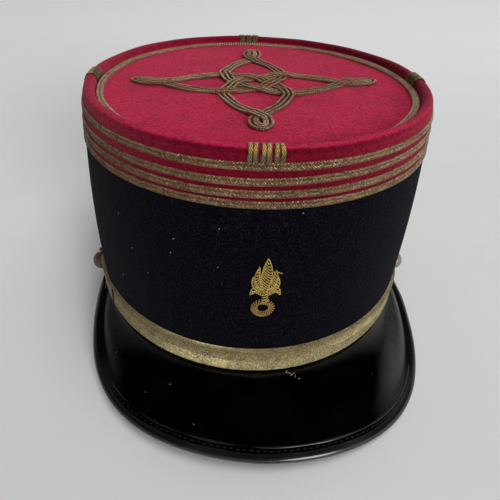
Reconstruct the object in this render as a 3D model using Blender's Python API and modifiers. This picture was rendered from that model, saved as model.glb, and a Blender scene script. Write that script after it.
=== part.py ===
"""Officer's kepi: a slanted oval crown, gold soutache, a front strap and a leather visor.

The cap is drawn in its own frame first: the base of the wall lies in the plane z = 0, the front
faces -Y and +X is at the wearer's left. A single empty, cap_rest, then tips the whole cap back until
the rear of the wall and the visor's rim both stand on the floor, with the origin in the middle of
the bounding box's bottom. All sizes are in metres.
"""
import math

import bmesh
import bpy
from mathutils import Matrix, Vector

# Crown: two ovals, the upper one smaller, set forward and sloping up to the rear. The felt is old:
# its sides bulge a little between the ovals, and the crown leans and rises slightly towards +X.
BASE_HALF_WIDTH = 0.0820
BASE_HALF_LENGTH = 0.0995
TOP_HALF_WIDTH = 0.0788
TOP_HALF_LENGTH = 0.0888
TOP_SHIFT = -0.0070
TOP_LEAN = 0.0005
BASE_LEAN = -0.0009
TOP_ROLL = 0.006
SIDE_BULGE = 0.0024
REAR_BULGE = 0.0015      # the top oval stands out this much more at REAR_BULGE_TURN
REAR_BULGE_TURN = math.radians(128.0)
HEIGHT_FRONT = 0.096
HEIGHT_REAR = 0.1066
TOP_SLOPE = (HEIGHT_REAR - HEIGHT_FRONT) / (2 * TOP_HALF_LENGTH)

WALL = 0.0025            # thickness of the felted wall
BASE_SOFT = 0.0005       # bevel of the wall's lower outer edge
GAP = 0.0003             # gap kept between neighbouring pieces
RING_STEPS = 64          # sections round the crown
TINY = 1e-9

# Rolled rim and recessed top.
RIM_WIDTH = 0.0044
RIM_ROUND = 0.0022
RECESS = 0.0045
TOP_DISC = 0.0020
COLOUR_SPLIT = 0.0764    # height at the front where navy meets red, behind the lowest braid

# Soutache rows: height of the lower edge above the base at the front, and height of the row.
BRAIDS = {
    "braid_1": {"low": 0.0885, "tall": 0.0027},
    "braid_2": {"low": 0.0832, "tall": 0.0027},
    "braid_3": {"low": 0.0792, "tall": 0.0027},
    "braid_4": {"low": 0.0753, "tall": 0.0027},
}
BRAID_OUT = 0.0006

# Cross-section shared by the braid rows and the cord ring: shares of their width and height.
RIDGE = [
    {"across": 0.00, "up": 0.0},
    {"across": 0.12, "up": 0.7},
    {"across": 0.50, "up": 1.0},
    {"across": 0.88, "up": 0.7},
    {"across": 1.00, "up": 0.0},
]

# Cord ring on the top disc.
CROWN_CORD_INSET = 0.0065
CROWN_CORD_WIDE = 0.0032
CROWN_CORD_TALL = 0.0014

# Double cords over the rim, three pairs at each of the four sides.
BAR_WIDE = 0.0037
BAR_PITCH = 0.0043
BAR_THICK = 0.0007
BAR_LIFT = 0.0004        # clearance between the bars and the rim
BAR_FLAT = 0.8           # share of a bar's width that is flat on top
BAR_FOOT = 0.0925        # height at the front where the bars leave the top braid
BAR_TAIL = 0.0025        # how far they run down the rim's inner face
BAR_SIDES = {"front": -91.0, "rear": 91.3, "left": 182.0, "right": -1.0}

# Cord knot: its centre and, for each arm, its direction, how far its crossing and its tip lie
# from that centre, and how far they have slipped sideways.
KNOT_CENTRE = (-0.0011, -0.0109)
KNOT_THICK = 0.0014
KNOT_ARMS = {
    "front": {"turn": -90.0, "node": 0.0443, "tip": 0.0594, "node_slip": 0.0000, "tip_slip": -0.0006},
    "right": {"turn": 0.0, "node": 0.0440, "tip": 0.0606, "node_slip": -0.0037, "tip_slip": -0.0077},
    "rear": {"turn": 90.0, "node": 0.0467, "tip": 0.0694, "node_slip": 0.0002, "tip_slip": 0.0015},
    "left": {"turn": 180.0, "node": 0.0424, "tip": 0.0584, "node_slip": -0.0013, "tip_slip": 0.0030},
}
KNOT_CORNER = 0.0172     # where the outer edges of two neighbouring arms cross
KNOT_BAND = 0.0058       # width of a band of three cords
KNOT_EYE = 0.0030        # radius of the small opening in the middle
KNOT_END_HALF = 0.0054   # half-width of the looped ends

# Outer edge of an arm: across in shares of KNOT_CORNER, along in shares of corner to crossing.
KNOT_FLANK = [
    {"across": 1.00, "along": 0.00},
    {"across": 0.98, "along": 0.23},
    {"across": 0.74, "along": 0.59},
    {"across": 0.45, "along": 0.85},
]
# Looped end of an arm: across in shares of KNOT_END_HALF, along in shares of crossing to tip.
KNOT_LOOP = [
    {"across": 0.80, "along": 0.00},
    {"across": 1.00, "along": 0.50},
    {"across": 0.85, "along": 0.82},
    {"across": 0.40, "along": 1.00},
]
# Pointed opening of an arm: across in shares of its half-width, along as for the outer edge.
KNOT_OPENING = [
    {"across": 0.95, "along": 0.00},
    {"across": 0.84, "along": 0.23},
    {"across": 0.41, "along": 0.59},
    {"across": 0.06, "along": 0.78},
]

# Front strap and its buttons. Angles are degrees of the oval's parameter from the front.
STRAP_LOW = 0.0006
STRAP_TALL = 0.0111
STRAP_THICK = 0.0012
STRAP_ROUND = 0.0055     # length over which an end rounds off
STRAP_PAST = 0.0006      # how far the band runs past the buttons' angles
STRAP_STEPS = 52
BUTTON_ANGLES = {"button_left": -75.5, "button_right": 76.5}
BUTTON_HEIGHT = 0.0052
BUTTON_RADIUS = 0.0048
BUTTON_DOME = 0.0042
BUTTON_EDGE = 0.0010
KEEPER_ANGLE = 55.5
KEEPER_WIDE = 0.0016
KEEPER_THICK = 0.0006
EYELET_ANGLE = 74.0
EYELET_HEIGHT = 0.0140
EYELET_RADIUS = 0.0009
EYELET_DOME = 0.0008
EYELET_EDGE = 0.0014

# Badge on the front of the wall: its foot, and outlines drawn as (across, up) from that foot.
BADGE_PLACE = {"across": 0.0009, "height": 0.0297}
BADGE_THICK = 0.0012
BADGE_RING_STEPS = 20
BADGE_RING = {"wide": 0.0091, "tall": 0.0081, "hole_wide": 0.0047, "hole_tall": 0.0035}
BADGE_OUTLINE = [
    {"across": 0.0, "up": 0.0260},
    {"across": 0.0016, "up": 0.0226},
    {"across": 0.0013, "up": 0.0205},
    {"across": 0.0026, "up": 0.0222},
    {"across": 0.0034, "up": 0.0200},
    {"across": 0.0034, "up": 0.0165},
    {"across": 0.0028, "up": 0.0135},
    {"across": 0.0046, "up": 0.0128},
    {"across": 0.0058, "up": 0.0101},
    {"across": 0.0055, "up": 0.0096},
    {"across": 0.0030, "up": 0.0106},
    {"across": 0.0014, "up": 0.0098},
    {"across": 0.0014, "up": 0.0070},
]

# Visor: a sloping leather blade. Seen from above its outline is a superellipse, skewed a little
# because the old leather has bent: it moves sideways by VISOR_SKEW for each metre of reach.
VISOR_HALF_WIDTH = 0.0831
VISOR_REACH = 0.1296
VISOR_SIDE_POWER = 1.85
VISOR_FRONT_POWER = 4.58
VISOR_OFFSET = -0.0014
VISOR_SKEW = 0.0402
VISOR_SLOPE = math.radians(33.0)
VISOR_WING = math.radians(69.0)
VISOR_TAPER_TURN = math.radians(61.0)
VISOR_TAPER = 0.38
VISOR_HALF_THICK = 0.0009
VISOR_STEP = 0.0009      # how far below the wall's base the blade starts
VISOR_TUCK = 0.0018      # how far the blade reaches under the wall
VISOR_STEPS = 48
BINDING_WIDE = 0.0068
BINDING_HALF = 0.0019
BINDING_POCKET = 0.00115
BINDING_EDGE = 0.0022    # the blade ends this far inside the binding's outer edge
BINDING_NOSE = 0.0019
BINDING_TAPER = 0.0003   # its legs thin by this much towards their edges
BINDING_ROOM = 0.0008    # distance it keeps from the wall where the wings run out

COLOURS = {
    "navy_wool": {"colour": (0.010, 0.010, 0.016), "rough": 0.95, "metal": 0.0},
    "red_wool": {"colour": (0.42, 0.012, 0.045), "rough": 0.90, "metal": 0.0},
    "gold_cord": {"colour": (0.36, 0.24, 0.11), "rough": 0.55, "metal": 0.5},
    "gold_bar": {"colour": (0.50, 0.35, 0.12), "rough": 0.50, "metal": 0.5},
    "gold_lace": {"colour": (0.38, 0.30, 0.15), "rough": 0.50, "metal": 0.5},
    "dark_thread": {"colour": (0.05, 0.035, 0.02), "rough": 0.85, "metal": 0.0},
    "old_brass": {"colour": (0.12, 0.065, 0.035), "rough": 0.45, "metal": 0.8},
    "gold_wire": {"colour": (0.70, 0.48, 0.14), "rough": 0.40, "metal": 0.7},
    "patent_leather": {"colour": (0.006, 0.006, 0.006), "rough": 0.12, "metal": 0.0},
    "rolled_leather": {"colour": (0.010, 0.010, 0.010), "rough": 0.30, "metal": 0.0},
}


def clear_scene():
    """Remove every object, so that the file holds only the cap."""
    for item in list(bpy.data.objects):
        bpy.data.objects.remove(item, do_unlink=True)


def make_material(name):
    """A Principled material from the table of colours."""
    look = COLOURS[name]
    material = bpy.data.materials.new(name)
    material.use_nodes = True
    shader = material.node_tree.nodes["Principled BSDF"]
    shader.inputs["Base Color"].default_value = (*look["colour"], 1.0)
    shader.inputs["Roughness"].default_value = look["rough"]
    shader.inputs["Metallic"].default_value = look["metal"]
    material.diffuse_color = (*look["colour"], 1.0)
    return material


def place(item, collection, root, material):
    """Link an object, give it its material and hang it on the cap's root."""
    collection.objects.link(item)
    item.data.materials.clear()
    item.data.materials.append(material)
    item.parent = root


def add_mesh(name, points, faces, sharp=40.0):
    """A mesh object with outward faces, shaded smooth away from its sharp edges."""
    mesh = bpy.data.meshes.new(name)
    mesh.from_pydata([tuple(point) for point in points], [], faces)
    form = bmesh.new()
    form.from_mesh(mesh)
    bmesh.ops.recalc_face_normals(form, faces=form.faces)
    form.to_mesh(mesh)
    form.free()
    mesh.shade_smooth()
    mesh.set_sharp_from_angle(angle=math.radians(sharp))
    return bpy.data.objects.new(name, mesh)


def add_loft(name, sections, ring):
    """Skin equal closed sections, either round a full ring or capped at both ends."""
    size = len(sections[0])
    count = len(sections)
    points = [point for section in sections for point in section]
    faces = []
    for row in range(count if ring else count - 1):
        here = row * size
        after = ((row + 1) % count) * size
        for col in range(size):
            step = (col + 1) % size
            faces.append((here + col, here + step, after + step, after + col))
    if not ring:
        faces.append(tuple(range(size)))
        faces.append(tuple(range((count - 1) * size, count * size)))
    return add_mesh(name, points, faces)


def add_flat_outline(name, loops, thick):
    """A flat outline with holes, as a filled 2D curve, made a mesh with its caps welded."""
    curve = bpy.data.curves.new(name, "CURVE")
    curve.dimensions = "2D"
    curve.fill_mode = "BOTH"
    curve.extrude = thick / 2
    for loop in loops:
        spline = curve.splines.new("POLY")
        spline.points.add(len(loop) - 1)
        for knot, (across, along) in zip(spline.points, loop):
            knot.co = (across, along, 0.0, 1.0)
        spline.use_cyclic_u = True
    drawn = bpy.data.objects.new(name + "_outline", curve)
    bpy.context.scene.collection.objects.link(drawn)
    seen = drawn.evaluated_get(bpy.context.evaluated_depsgraph_get())
    mesh = bpy.data.meshes.new_from_object(seen)
    bpy.data.objects.remove(drawn, do_unlink=True)
    form = bmesh.new()
    form.from_mesh(mesh)
    bmesh.ops.remove_doubles(form, verts=form.verts, dist=0.00001)
    bmesh.ops.recalc_face_normals(form, faces=form.faces)
    form.to_mesh(mesh)
    form.free()
    mesh.name = name
    return bpy.data.objects.new(name, mesh)


def add_turned(name, profile, steps):
    """Turn a profile of (radius, height) about Z with a Screw modifier."""
    mesh = bpy.data.meshes.new(name)
    points = [(radius, 0.0, height) for radius, height in profile]
    edges = [(row, row + 1) for row in range(len(points) - 1)]
    mesh.from_pydata(points, edges, [])
    item = bpy.data.objects.new(name, mesh)
    screw = item.modifiers.new("turn", "SCREW")
    screw.steps = steps
    screw.render_steps = steps
    screw.use_merge_vertices = True
    screw.merge_threshold = 0.00001
    return item


def top_height(across, along):
    """Height of the sloping top plane over a point."""
    front = TOP_SHIFT - TOP_HALF_LENGTH
    return HEIGHT_FRONT + TOP_SLOPE * (along - front) + TOP_ROLL * across


def oval_normal(angle, rise):
    """Outward normal, in plan, of the wall's oval at this share of its height."""
    wide = BASE_HALF_WIDTH + (TOP_HALF_WIDTH - BASE_HALF_WIDTH) * rise
    long = BASE_HALF_LENGTH + (TOP_HALF_LENGTH - BASE_HALF_LENGTH) * rise
    return Vector((math.cos(angle) / wide, math.sin(angle) / long, 0.0)).normalized()


def top_edge(angle):
    """Point on the top oval, in the sloping top plane."""
    bulge = REAR_BULGE * max(0.0, math.cos(angle - REAR_BULGE_TURN)) ** 6
    normal = oval_normal(angle, 1.0)
    across = TOP_LEAN + TOP_HALF_WIDTH * math.cos(angle) + normal.x * bulge
    along = TOP_SHIFT + TOP_HALF_LENGTH * math.sin(angle) + normal.y * bulge
    return Vector((across, along, top_height(across, along)))


def wall_point(angle, rise, out=0.0):
    """Point on the wall, rise 0 at the base to 1 at the top, moved outward by out."""
    cos, sin = math.cos(angle), math.sin(angle)
    base = Vector((BASE_LEAN + BASE_HALF_WIDTH * cos, BASE_HALF_LENGTH * sin, 0.0))
    bulge = SIDE_BULGE * 4 * rise * (1 - rise) * cos * cos
    return base.lerp(top_edge(angle), rise) + oval_normal(angle, rise) * (out + bulge)


def wall_at(angle, height, out=0.0):
    """Point on the wall at a true height above the base."""
    return wall_point(angle, height / top_edge(angle).z, out)


def top_point(angle, inset, drop):
    """Point this far inside the top oval's edge and this far below the top plane."""
    point = top_edge(angle) - oval_normal(angle, 1.0) * inset
    point.z = top_height(point.x, point.y) - drop
    return point


def ring_angles(steps=RING_STEPS):
    """Angles round the oval, half a step off the axes, so that flats face front and rear."""
    return [2 * math.pi * (step + 0.5) / steps for step in range(steps)]


def make_crown_wall():
    """Navy lower wall, an open oval shell."""
    top = COLOUR_SPLIT / HEIGHT_FRONT
    sections = [
        [
            wall_point(angle, 0.0, -BASE_SOFT),
            wall_point(angle, BASE_SOFT / HEIGHT_FRONT, 0.0),
            wall_point(angle, top, 0.0),
            wall_point(angle, top, -WALL),
            wall_point(angle, 0.0, -WALL),
        ]
        for angle in ring_angles()
    ]
    return add_loft("crown_wall", sections, ring=True)


def make_crown_upper_wall():
    """Red upper wall with its rim rolled inward over the edge of the top disc."""
    foot = (COLOUR_SPLIT + GAP) / HEIGHT_FRONT
    fold = RECESS - GAP
    turn = RIM_ROUND * (1 - math.cos(math.radians(45)))
    sections = []
    for angle in ring_angles():
        shoulder = 1 - RIM_ROUND / HEIGHT_FRONT
        sections.append([
            wall_point(angle, foot, 0.0),
            wall_point(angle, shoulder, 0.0),
            top_point(angle, turn, turn),
            top_point(angle, RIM_ROUND, 0.0),
            top_point(angle, RIM_WIDTH - RIM_ROUND, 0.0),
            top_point(angle, RIM_WIDTH - turn, turn),
            top_point(angle, RIM_WIDTH, RIM_ROUND),
            top_point(angle, RIM_WIDTH, fold),
            wall_point(angle, 1 - fold / HEIGHT_FRONT, -WALL),
            wall_point(angle, foot, -WALL),
        ])
    return add_loft("crown_upper_wall", sections, ring=True)


def make_crown_top():
    """Recessed red disc, its edge tucked under the rolled rim."""
    inset = WALL + GAP
    upper = [top_point(angle, inset, RECESS) for angle in ring_angles()]
    lower = [top_point(angle, inset, RECESS + TOP_DISC) for angle in ring_angles()]
    count = len(upper)
    faces = [tuple(range(count)), tuple(range(count, 2 * count))]
    for step in range(count):
        after = (step + 1) % count
        faces.append((step, after, count + after, count + step))
    return add_mesh("crown_top", upper + lower, faces)


def make_crown_cord():
    """Flat cord ring lying on the disc."""
    near = CROWN_CORD_INSET - CROWN_CORD_WIDE / 2
    shape = [
        (near + CROWN_CORD_WIDE * step["across"], RECESS - GAP - CROWN_CORD_TALL * step["up"])
        for step in RIDGE
    ]
    sections = [
        [top_point(angle, inset, drop) for inset, drop in shape]
        for angle in ring_angles()
    ]
    return add_loft("crown_cord", sections, ring=True)


def make_braid(name):
    """One soutache row round the wall, a low ridge with a flat back."""
    row = BRAIDS[name]
    low = row["low"] / HEIGHT_FRONT
    tall = row["tall"] / HEIGHT_FRONT
    sections = [
        [wall_point(angle, low + tall * step["across"], GAP + BRAID_OUT * step["up"])
         for step in RIDGE]
        for angle in ring_angles()
    ]
    return add_loft(name, sections, ring=True)


def bar_path(angle):
    """Route of a bar in one radial plane: up the wall, over the rim and down its inner face."""
    shoulder = 1 - RIM_ROUND / HEIGHT_FRONT
    turn = RIM_ROUND * (1 - math.cos(math.radians(45)))
    return [
        wall_point(angle, BAR_FOOT / HEIGHT_FRONT, 0.0),
        wall_point(angle, shoulder, 0.0),
        top_point(angle, turn, turn),
        top_point(angle, RIM_ROUND, 0.0),
        top_point(angle, RIM_WIDTH - RIM_ROUND, 0.0),
        top_point(angle, RIM_WIDTH - turn, turn),
        top_point(angle, RIM_WIDTH, BAR_TAIL),
    ]


def make_bar(name, side, place_index):
    """A pair of cords over the rim as one flat band with softened edges."""
    middle = math.radians(BAR_SIDES[side])
    pace = math.hypot(TOP_HALF_WIDTH * math.sin(middle), TOP_HALF_LENGTH * math.cos(middle))
    angle = middle + place_index * BAR_PITCH / pace
    path = bar_path(angle)
    across = Vector((-oval_normal(angle, 1.0).y, oval_normal(angle, 1.0).x, 0.0))
    half = BAR_WIDE / 2
    low, high = BAR_LIFT, BAR_LIFT + BAR_THICK
    shape = [(-half, low), (-half * BAR_FLAT, high), (half * BAR_FLAT, high), (half, low)]
    sections = []
    for step, point in enumerate(path):
        before = path[max(step - 1, 0)]
        after = path[min(step + 1, len(path) - 1)]
        off = across.cross((after - before).normalized())
        sections.append([point + across * side_way + off * out for side_way, out in shape])
    return add_loft(name, sections, ring=False)


def slipped(arm, points):
    """Points of an arm moved sideways: not at all at its corners, more towards its tip."""
    along = [0.0, KNOT_CORNER, arm["node"], arm["tip"]]
    slip = [0.0, 0.0, arm["node_slip"], arm["tip_slip"]]
    moved = []
    for across, reach in points:
        step = next(k for k in (1, 2, 3) if reach <= along[k] + TINY)
        share = (reach - along[step - 1]) / (along[step] - along[step - 1])
        moved.append((across + slip[step - 1] + share * (slip[step] - slip[step - 1]), reach))
    return moved


def knot_arm_outline(arm):
    """Outer edge of one arm in its own (across, along) axes, from its left corner to its right."""
    flank = arm["node"] - KNOT_CORNER
    loop = arm["tip"] - arm["node"]
    side = [(KNOT_CORNER * row["across"], KNOT_CORNER + flank * row["along"]) for row in KNOT_FLANK]
    side += [(KNOT_END_HALF * row["across"], arm["node"] + loop * row["along"]) for row in KNOT_LOOP]
    return slipped(arm, [(-across, along) for across, along in side] + side[::-1])


def knot_arm_hole(arm):
    """Pointed opening inside one arm."""
    half = KNOT_CORNER - KNOT_BAND
    flank = arm["node"] - KNOT_CORNER
    side = [(half * row["across"], KNOT_CORNER + flank * row["along"]) for row in KNOT_OPENING]
    return slipped(arm, [(0.0, half)] + side + [(-across, along) for across, along in side[::-1]])


def make_crown_knot():
    """The cord knot as one flat solid, pierced where the top shows through it."""
    def turned(points, degrees):
        spin = math.radians(degrees - 90.0)
        cos, sin = math.cos(spin), math.sin(spin)
        return [(x * cos - y * sin, x * sin + y * cos) for x, y in points]

    outline = []
    holes = []
    for arm in KNOT_ARMS.values():
        outline += turned(knot_arm_outline(arm)[::-1], arm["turn"])
        holes.append(turned(knot_arm_hole(arm), arm["turn"]))
    eye = [(KNOT_EYE * math.cos(math.pi * k / 4), KNOT_EYE * math.sin(math.pi * k / 4))
           for k in range(8)]
    item = add_flat_outline("crown_knot", [outline, eye] + holes, KNOT_THICK)
    x, y = KNOT_CENTRE
    upright = Vector((-TOP_ROLL, -TOP_SLOPE, 1.0)).normalized()
    spot = Vector((x, y, top_height(x, y) - RECESS)) + upright * (KNOT_THICK / 2 + GAP)
    lay = Vector((0.0, 0.0, 1.0)).rotation_difference(upright).to_matrix().to_4x4()
    item.data.transform(Matrix.Translation(spot) @ lay)
    return item


def make_strap():
    """Gold lace strap from button to button, a flat band with round ends."""
    left, right = (math.radians(angle) for angle in BUTTON_ANGLES.values())
    centre, ends = (right + left) / 2, (right - left) / 2
    count = STRAP_STEPS
    sections = []
    for step in range(count + 1):
        share = math.cos(math.pi * step / count)
        from_end = ends * (1 - abs(share)) * BASE_HALF_LENGTH + STRAP_PAST
        fill = min(1.0, from_end / STRAP_ROUND)
        half = STRAP_TALL / 2 * math.sqrt(1 - (1 - fill) ** 2)
        middle = STRAP_LOW + STRAP_TALL / 2
        around = centre + ends * share - math.pi / 2
        sections.append([
            wall_at(around, middle - half, GAP),
            wall_at(around, middle + half, GAP),
            wall_at(around, middle + half, GAP + STRAP_THICK),
            wall_at(around, middle - half, GAP + STRAP_THICK),
        ])
    return add_loft("strap", sections, ring=False)


def make_strap_keeper():
    """Narrow dark keeper over the strap at the wearer's right."""
    middle = -math.pi / 2 - math.radians(KEEPER_ANGLE)
    swing = KEEPER_WIDE / 2 / BASE_HALF_WIDTH
    low = STRAP_LOW + GAP
    high = STRAP_LOW + STRAP_TALL - GAP
    inner = STRAP_THICK + 2 * GAP
    outer = inner + KEEPER_THICK
    sections = [
        [wall_at(angle, low, inner), wall_at(angle, high, inner),
         wall_at(angle, high, outer), wall_at(angle, low, outer)]
        for angle in (middle - swing, middle, middle + swing)
    ]
    return add_loft("strap_keeper", sections, ring=False)


def stand_off_wall(item, angle, height, out):
    """Turn a piece made along +Z so that it stands off the wall, and put it there."""
    foot = wall_at(angle, height, out)
    outward = oval_normal(angle, 0.0)
    outward.z = (BASE_HALF_WIDTH - TOP_HALF_WIDTH) / HEIGHT_FRONT
    item.matrix_local = Matrix.Translation(foot) @ outward.to_track_quat("Z", "Y").to_matrix().to_4x4()


def dome(radius, rise, edge):
    """Profile of a domed disc, from the top of the dome down its outer side to the middle."""
    profile = [
        (radius * math.sin(math.radians(turn)), edge + rise * math.cos(math.radians(turn)))
        for turn in (0.0, 22.5, 45.0, 67.5, 90.0)
    ]
    return profile + [(radius, 0.0), (0.0, 0.0)]


def make_button(name):
    """Small domed button over the strap's end."""
    item = add_turned(name, dome(BUTTON_RADIUS, BUTTON_DOME, BUTTON_EDGE), 18)
    angle = math.radians(BUTTON_ANGLES[name]) - math.pi / 2
    stand_off_wall(item, angle, BUTTON_HEIGHT, STRAP_THICK + 3 * GAP)
    return item


def make_eyelet():
    """Small dark stud above the left button."""
    item = add_turned("eyelet_left", dome(EYELET_RADIUS, EYELET_DOME, EYELET_EDGE), 10)
    stand_off_wall(item, -math.pi / 2 - math.radians(EYELET_ANGLE), EYELET_HEIGHT, GAP)
    return item


def make_badge():
    """Gold wire badge: a spray of flames over a ring, as one raised plate."""
    flames = [(row["across"], row["up"]) for row in BADGE_OUTLINE]
    wide, tall = BADGE_RING["wide"] / 2, BADGE_RING["tall"] / 2
    meet = math.asin(flames[-1][0] / wide)
    turns = [meet + (math.pi - meet) * k / BADGE_RING_STEPS for k in range(1, BADGE_RING_STEPS + 1)]
    half_ring = [(wide * math.sin(turn), tall + tall * math.cos(turn)) for turn in turns]
    half = flames + half_ring
    outline = half + [(-x, y) for x, y in half[-2:0:-1]]
    hole = [
        (BADGE_RING["hole_wide"] / 2 * math.cos(2 * math.pi * k / 14),
         tall + BADGE_RING["hole_tall"] / 2 * math.sin(2 * math.pi * k / 14))
        for k in range(14)
    ]
    item = add_flat_outline("badge", [outline, hole], BADGE_THICK)
    foot = wall_at(-math.pi / 2, BADGE_PLACE["height"], GAP + BADGE_THICK / 2)
    foot.x = BADGE_PLACE["across"]
    front_top = wall_point(-math.pi / 2, 1.0)
    lean = math.atan2(front_top.y + BASE_HALF_LENGTH, front_top.z)
    item.data.transform(Matrix.Translation(foot) @ Matrix.Rotation(math.pi / 2 - lean, 4, "X"))
    return item


def visor_outline(turn):
    """Distance from the cap's centre to the visor's rim, turn radians from the front. Towards its
    wings' ends the rim draws in to the wall."""
    near, far = 0.05, 0.20
    for _ in range(40):
        reach = (near + far) / 2
        middle = VISOR_OFFSET + VISOR_SKEW * reach * math.cos(turn)
        side = (abs(reach * math.sin(turn) - middle) / VISOR_HALF_WIDTH) ** VISOR_SIDE_POWER
        ahead = (reach * math.cos(turn) / VISOR_REACH) ** VISOR_FRONT_POWER
        if side + ahead < 1.0:
            near = reach
        else:
            far = reach
    end = max(0.0, (abs(turn) - VISOR_TAPER_TURN) / (VISOR_WING - VISOR_TAPER_TURN))
    return near - (near - base_outline(turn)) * VISOR_TAPER * end ** 2


def base_outline(turn):
    """Distance from the cap's centre to the wall's base in the same direction."""
    side = math.sin(turn) / BASE_HALF_WIDTH
    ahead = math.cos(turn) / BASE_HALF_LENGTH
    lean = BASE_LEAN / BASE_HALF_WIDTH
    square = side * side + ahead * ahead
    return (side * lean + math.sqrt((side * lean) ** 2 + square * (1 - lean * lean))) / square


def visor_space(turn, reach, height):
    """A point of the visor's radial plane in the cap's frame."""
    return Vector((reach * math.sin(turn), -reach * math.cos(turn), height))


def visor_edge_point(turn, inward, above):
    """Point measured from the rim: inward along the blade, above its middle surface."""
    base, rim = base_outline(turn), visor_outline(turn)
    lift = above - VISOR_HALF_THICK
    reach = rim - inward * math.cos(VISOR_SLOPE) + lift * math.sin(VISOR_SLOPE)
    height = -VISOR_STEP - math.tan(VISOR_SLOPE) * (rim - base)
    height += inward * math.sin(VISOR_SLOPE) + lift * math.cos(VISOR_SLOPE)
    return visor_space(turn, reach, height)


def visor_turns():
    """Directions of the visor's sections, from wing to wing."""
    return [VISOR_WING * (2 * step / VISOR_STEPS - 1) for step in range(VISOR_STEPS + 1)]


def make_visor():
    """The leather blade, tucked under the wall and sloping down to its rim."""
    thick = 2 * VISOR_HALF_THICK
    sections = []
    for turn in visor_turns():
        base = base_outline(turn)
        root = base + GAP
        tuck = base - VISOR_TUCK
        sections.append([
            visor_space(turn, tuck, -GAP),
            visor_space(turn, root, -VISOR_STEP),
            visor_edge_point(turn, BINDING_EDGE, VISOR_HALF_THICK),
            visor_edge_point(turn, BINDING_EDGE, -VISOR_HALF_THICK),
            visor_space(turn, root - thick * math.sin(VISOR_SLOPE), -VISOR_STEP - thick),
            visor_space(turn, tuck, -GAP - thick),
        ])
    return add_loft("visor", sections, ring=False)


def make_visor_binding():
    """Leather binding folded round the visor's rim, with a round nose."""
    sections = []
    for turn in visor_turns():
        room = (visor_outline(turn) - base_outline(turn) - BINDING_ROOM) / math.cos(VISOR_SLOPE)
        wide = min(BINDING_WIDE, room)
        nose = [
            (BINDING_NOSE * (1 - math.cos(math.radians(k))), BINDING_HALF * math.sin(math.radians(k)))
            for k in (90, 45, 0, -45, -90)
        ]
        shape = [(wide, BINDING_POCKET), (wide, BINDING_HALF - BINDING_TAPER)] + nose
        shape += [(wide, -BINDING_HALF + BINDING_TAPER), (wide, -BINDING_POCKET),
                  (BINDING_NOSE, -BINDING_POCKET), (BINDING_NOSE, BINDING_POCKET)]
        sections.append([visor_edge_point(turn, inward, above) for inward, above in shape])
    return add_loft("visor_binding", sections, ring=False)


def tip_back(root, pieces):
    """Tip the cap back onto the wall's rear edge and the visor's rim, and centre it on the floor."""
    def corners():
        graph = bpy.context.evaluated_depsgraph_get()
        graph.update()
        for piece in pieces:
            seen = piece.evaluated_get(graph)
            for vertex in seen.data.vertices:
                yield seen.matrix_world @ vertex.co

    flat = list(corners())
    heel = max((point for point in flat if point.z < 0.001 and point.y > 0), key=lambda p: p.y)
    tilt = max(math.atan2(heel.z - point.z, heel.y - point.y) for point in flat if point.y < 0)
    root.rotation_euler = (-tilt, 0.0, 0.0)
    tipped = list(corners())
    along = [point.y for point in tipped]
    across = [point.x for point in tipped]
    root.location = (-(min(across) + max(across)) / 2, -(min(along) + max(along)) / 2,
                     -min(point.z for point in tipped))


def main():
    clear_scene()
    collection = bpy.data.collections.new("kepi")
    bpy.context.scene.collection.children.link(collection)
    root = bpy.data.objects.new("cap_rest", None)
    collection.objects.link(root)
    paint = {name: make_material(name) for name in COLOURS}

    pieces = [
        (make_crown_wall(), "navy_wool"),
        (make_crown_upper_wall(), "red_wool"),
        (make_crown_top(), "red_wool"),
        (make_crown_cord(), "gold_cord"),
        (make_crown_knot(), "gold_cord"),
        (make_strap(), "gold_lace"),
        (make_strap_keeper(), "dark_thread"),
        (make_button("button_left"), "old_brass"),
        (make_button("button_right"), "old_brass"),
        (make_eyelet(), "dark_thread"),
        (make_badge(), "gold_wire"),
        (make_visor(), "patent_leather"),
        (make_visor_binding(), "rolled_leather"),
    ]
    pieces += [(make_braid(name), "gold_cord") for name in BRAIDS]
    for side in BAR_SIDES:
        pieces += [(make_bar(f"bar_{side}_{number}", side, number - 2), "gold_bar")
                   for number in (1, 2, 3)]
    for item, colour in pieces:
        place(item, collection, root, paint[colour])
    tip_back(root, [item for item, _ in pieces])


main()
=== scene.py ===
"""Looks of an old officer's kepi: wool crown, gilt soutache and cord knot, lace strap, patent
leather visor.

The cap is drawn in its own frame: the wall's base lies in z = 0, the front faces -Y, and it is then
tipped back onto the floor as it rests. Left (-X) and right (+X) are those of a viewer who faces the
front. Sizes are in metres.
"""
import math

import bpy
import numpy as np
from mathutils import Matrix, Vector


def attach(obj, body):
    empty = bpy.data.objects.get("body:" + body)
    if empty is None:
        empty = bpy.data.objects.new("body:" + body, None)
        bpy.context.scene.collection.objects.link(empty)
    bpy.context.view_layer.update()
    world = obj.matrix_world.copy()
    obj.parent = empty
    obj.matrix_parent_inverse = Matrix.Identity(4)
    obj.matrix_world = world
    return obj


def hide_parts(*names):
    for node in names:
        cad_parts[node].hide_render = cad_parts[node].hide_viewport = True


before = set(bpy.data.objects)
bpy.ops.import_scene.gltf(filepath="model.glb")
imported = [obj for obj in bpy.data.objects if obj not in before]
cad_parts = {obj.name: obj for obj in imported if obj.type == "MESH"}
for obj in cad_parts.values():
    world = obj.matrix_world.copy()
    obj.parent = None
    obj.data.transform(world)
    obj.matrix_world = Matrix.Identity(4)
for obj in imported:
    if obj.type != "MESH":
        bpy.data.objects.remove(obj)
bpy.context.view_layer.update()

# ---------------------------------------------------------------- sizes of the cap
BASE_HALF_WIDTH = 0.0820
BASE_HALF_LENGTH = 0.0995
TOP_HALF_WIDTH = 0.0788
TOP_HALF_LENGTH = 0.0888
TOP_SHIFT = -0.0070
TOP_LEAN = 0.0005
BASE_LEAN = -0.0009
TOP_ROLL = 0.006
SIDE_BULGE = 0.0024
REAR_BULGE = 0.0015
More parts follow.
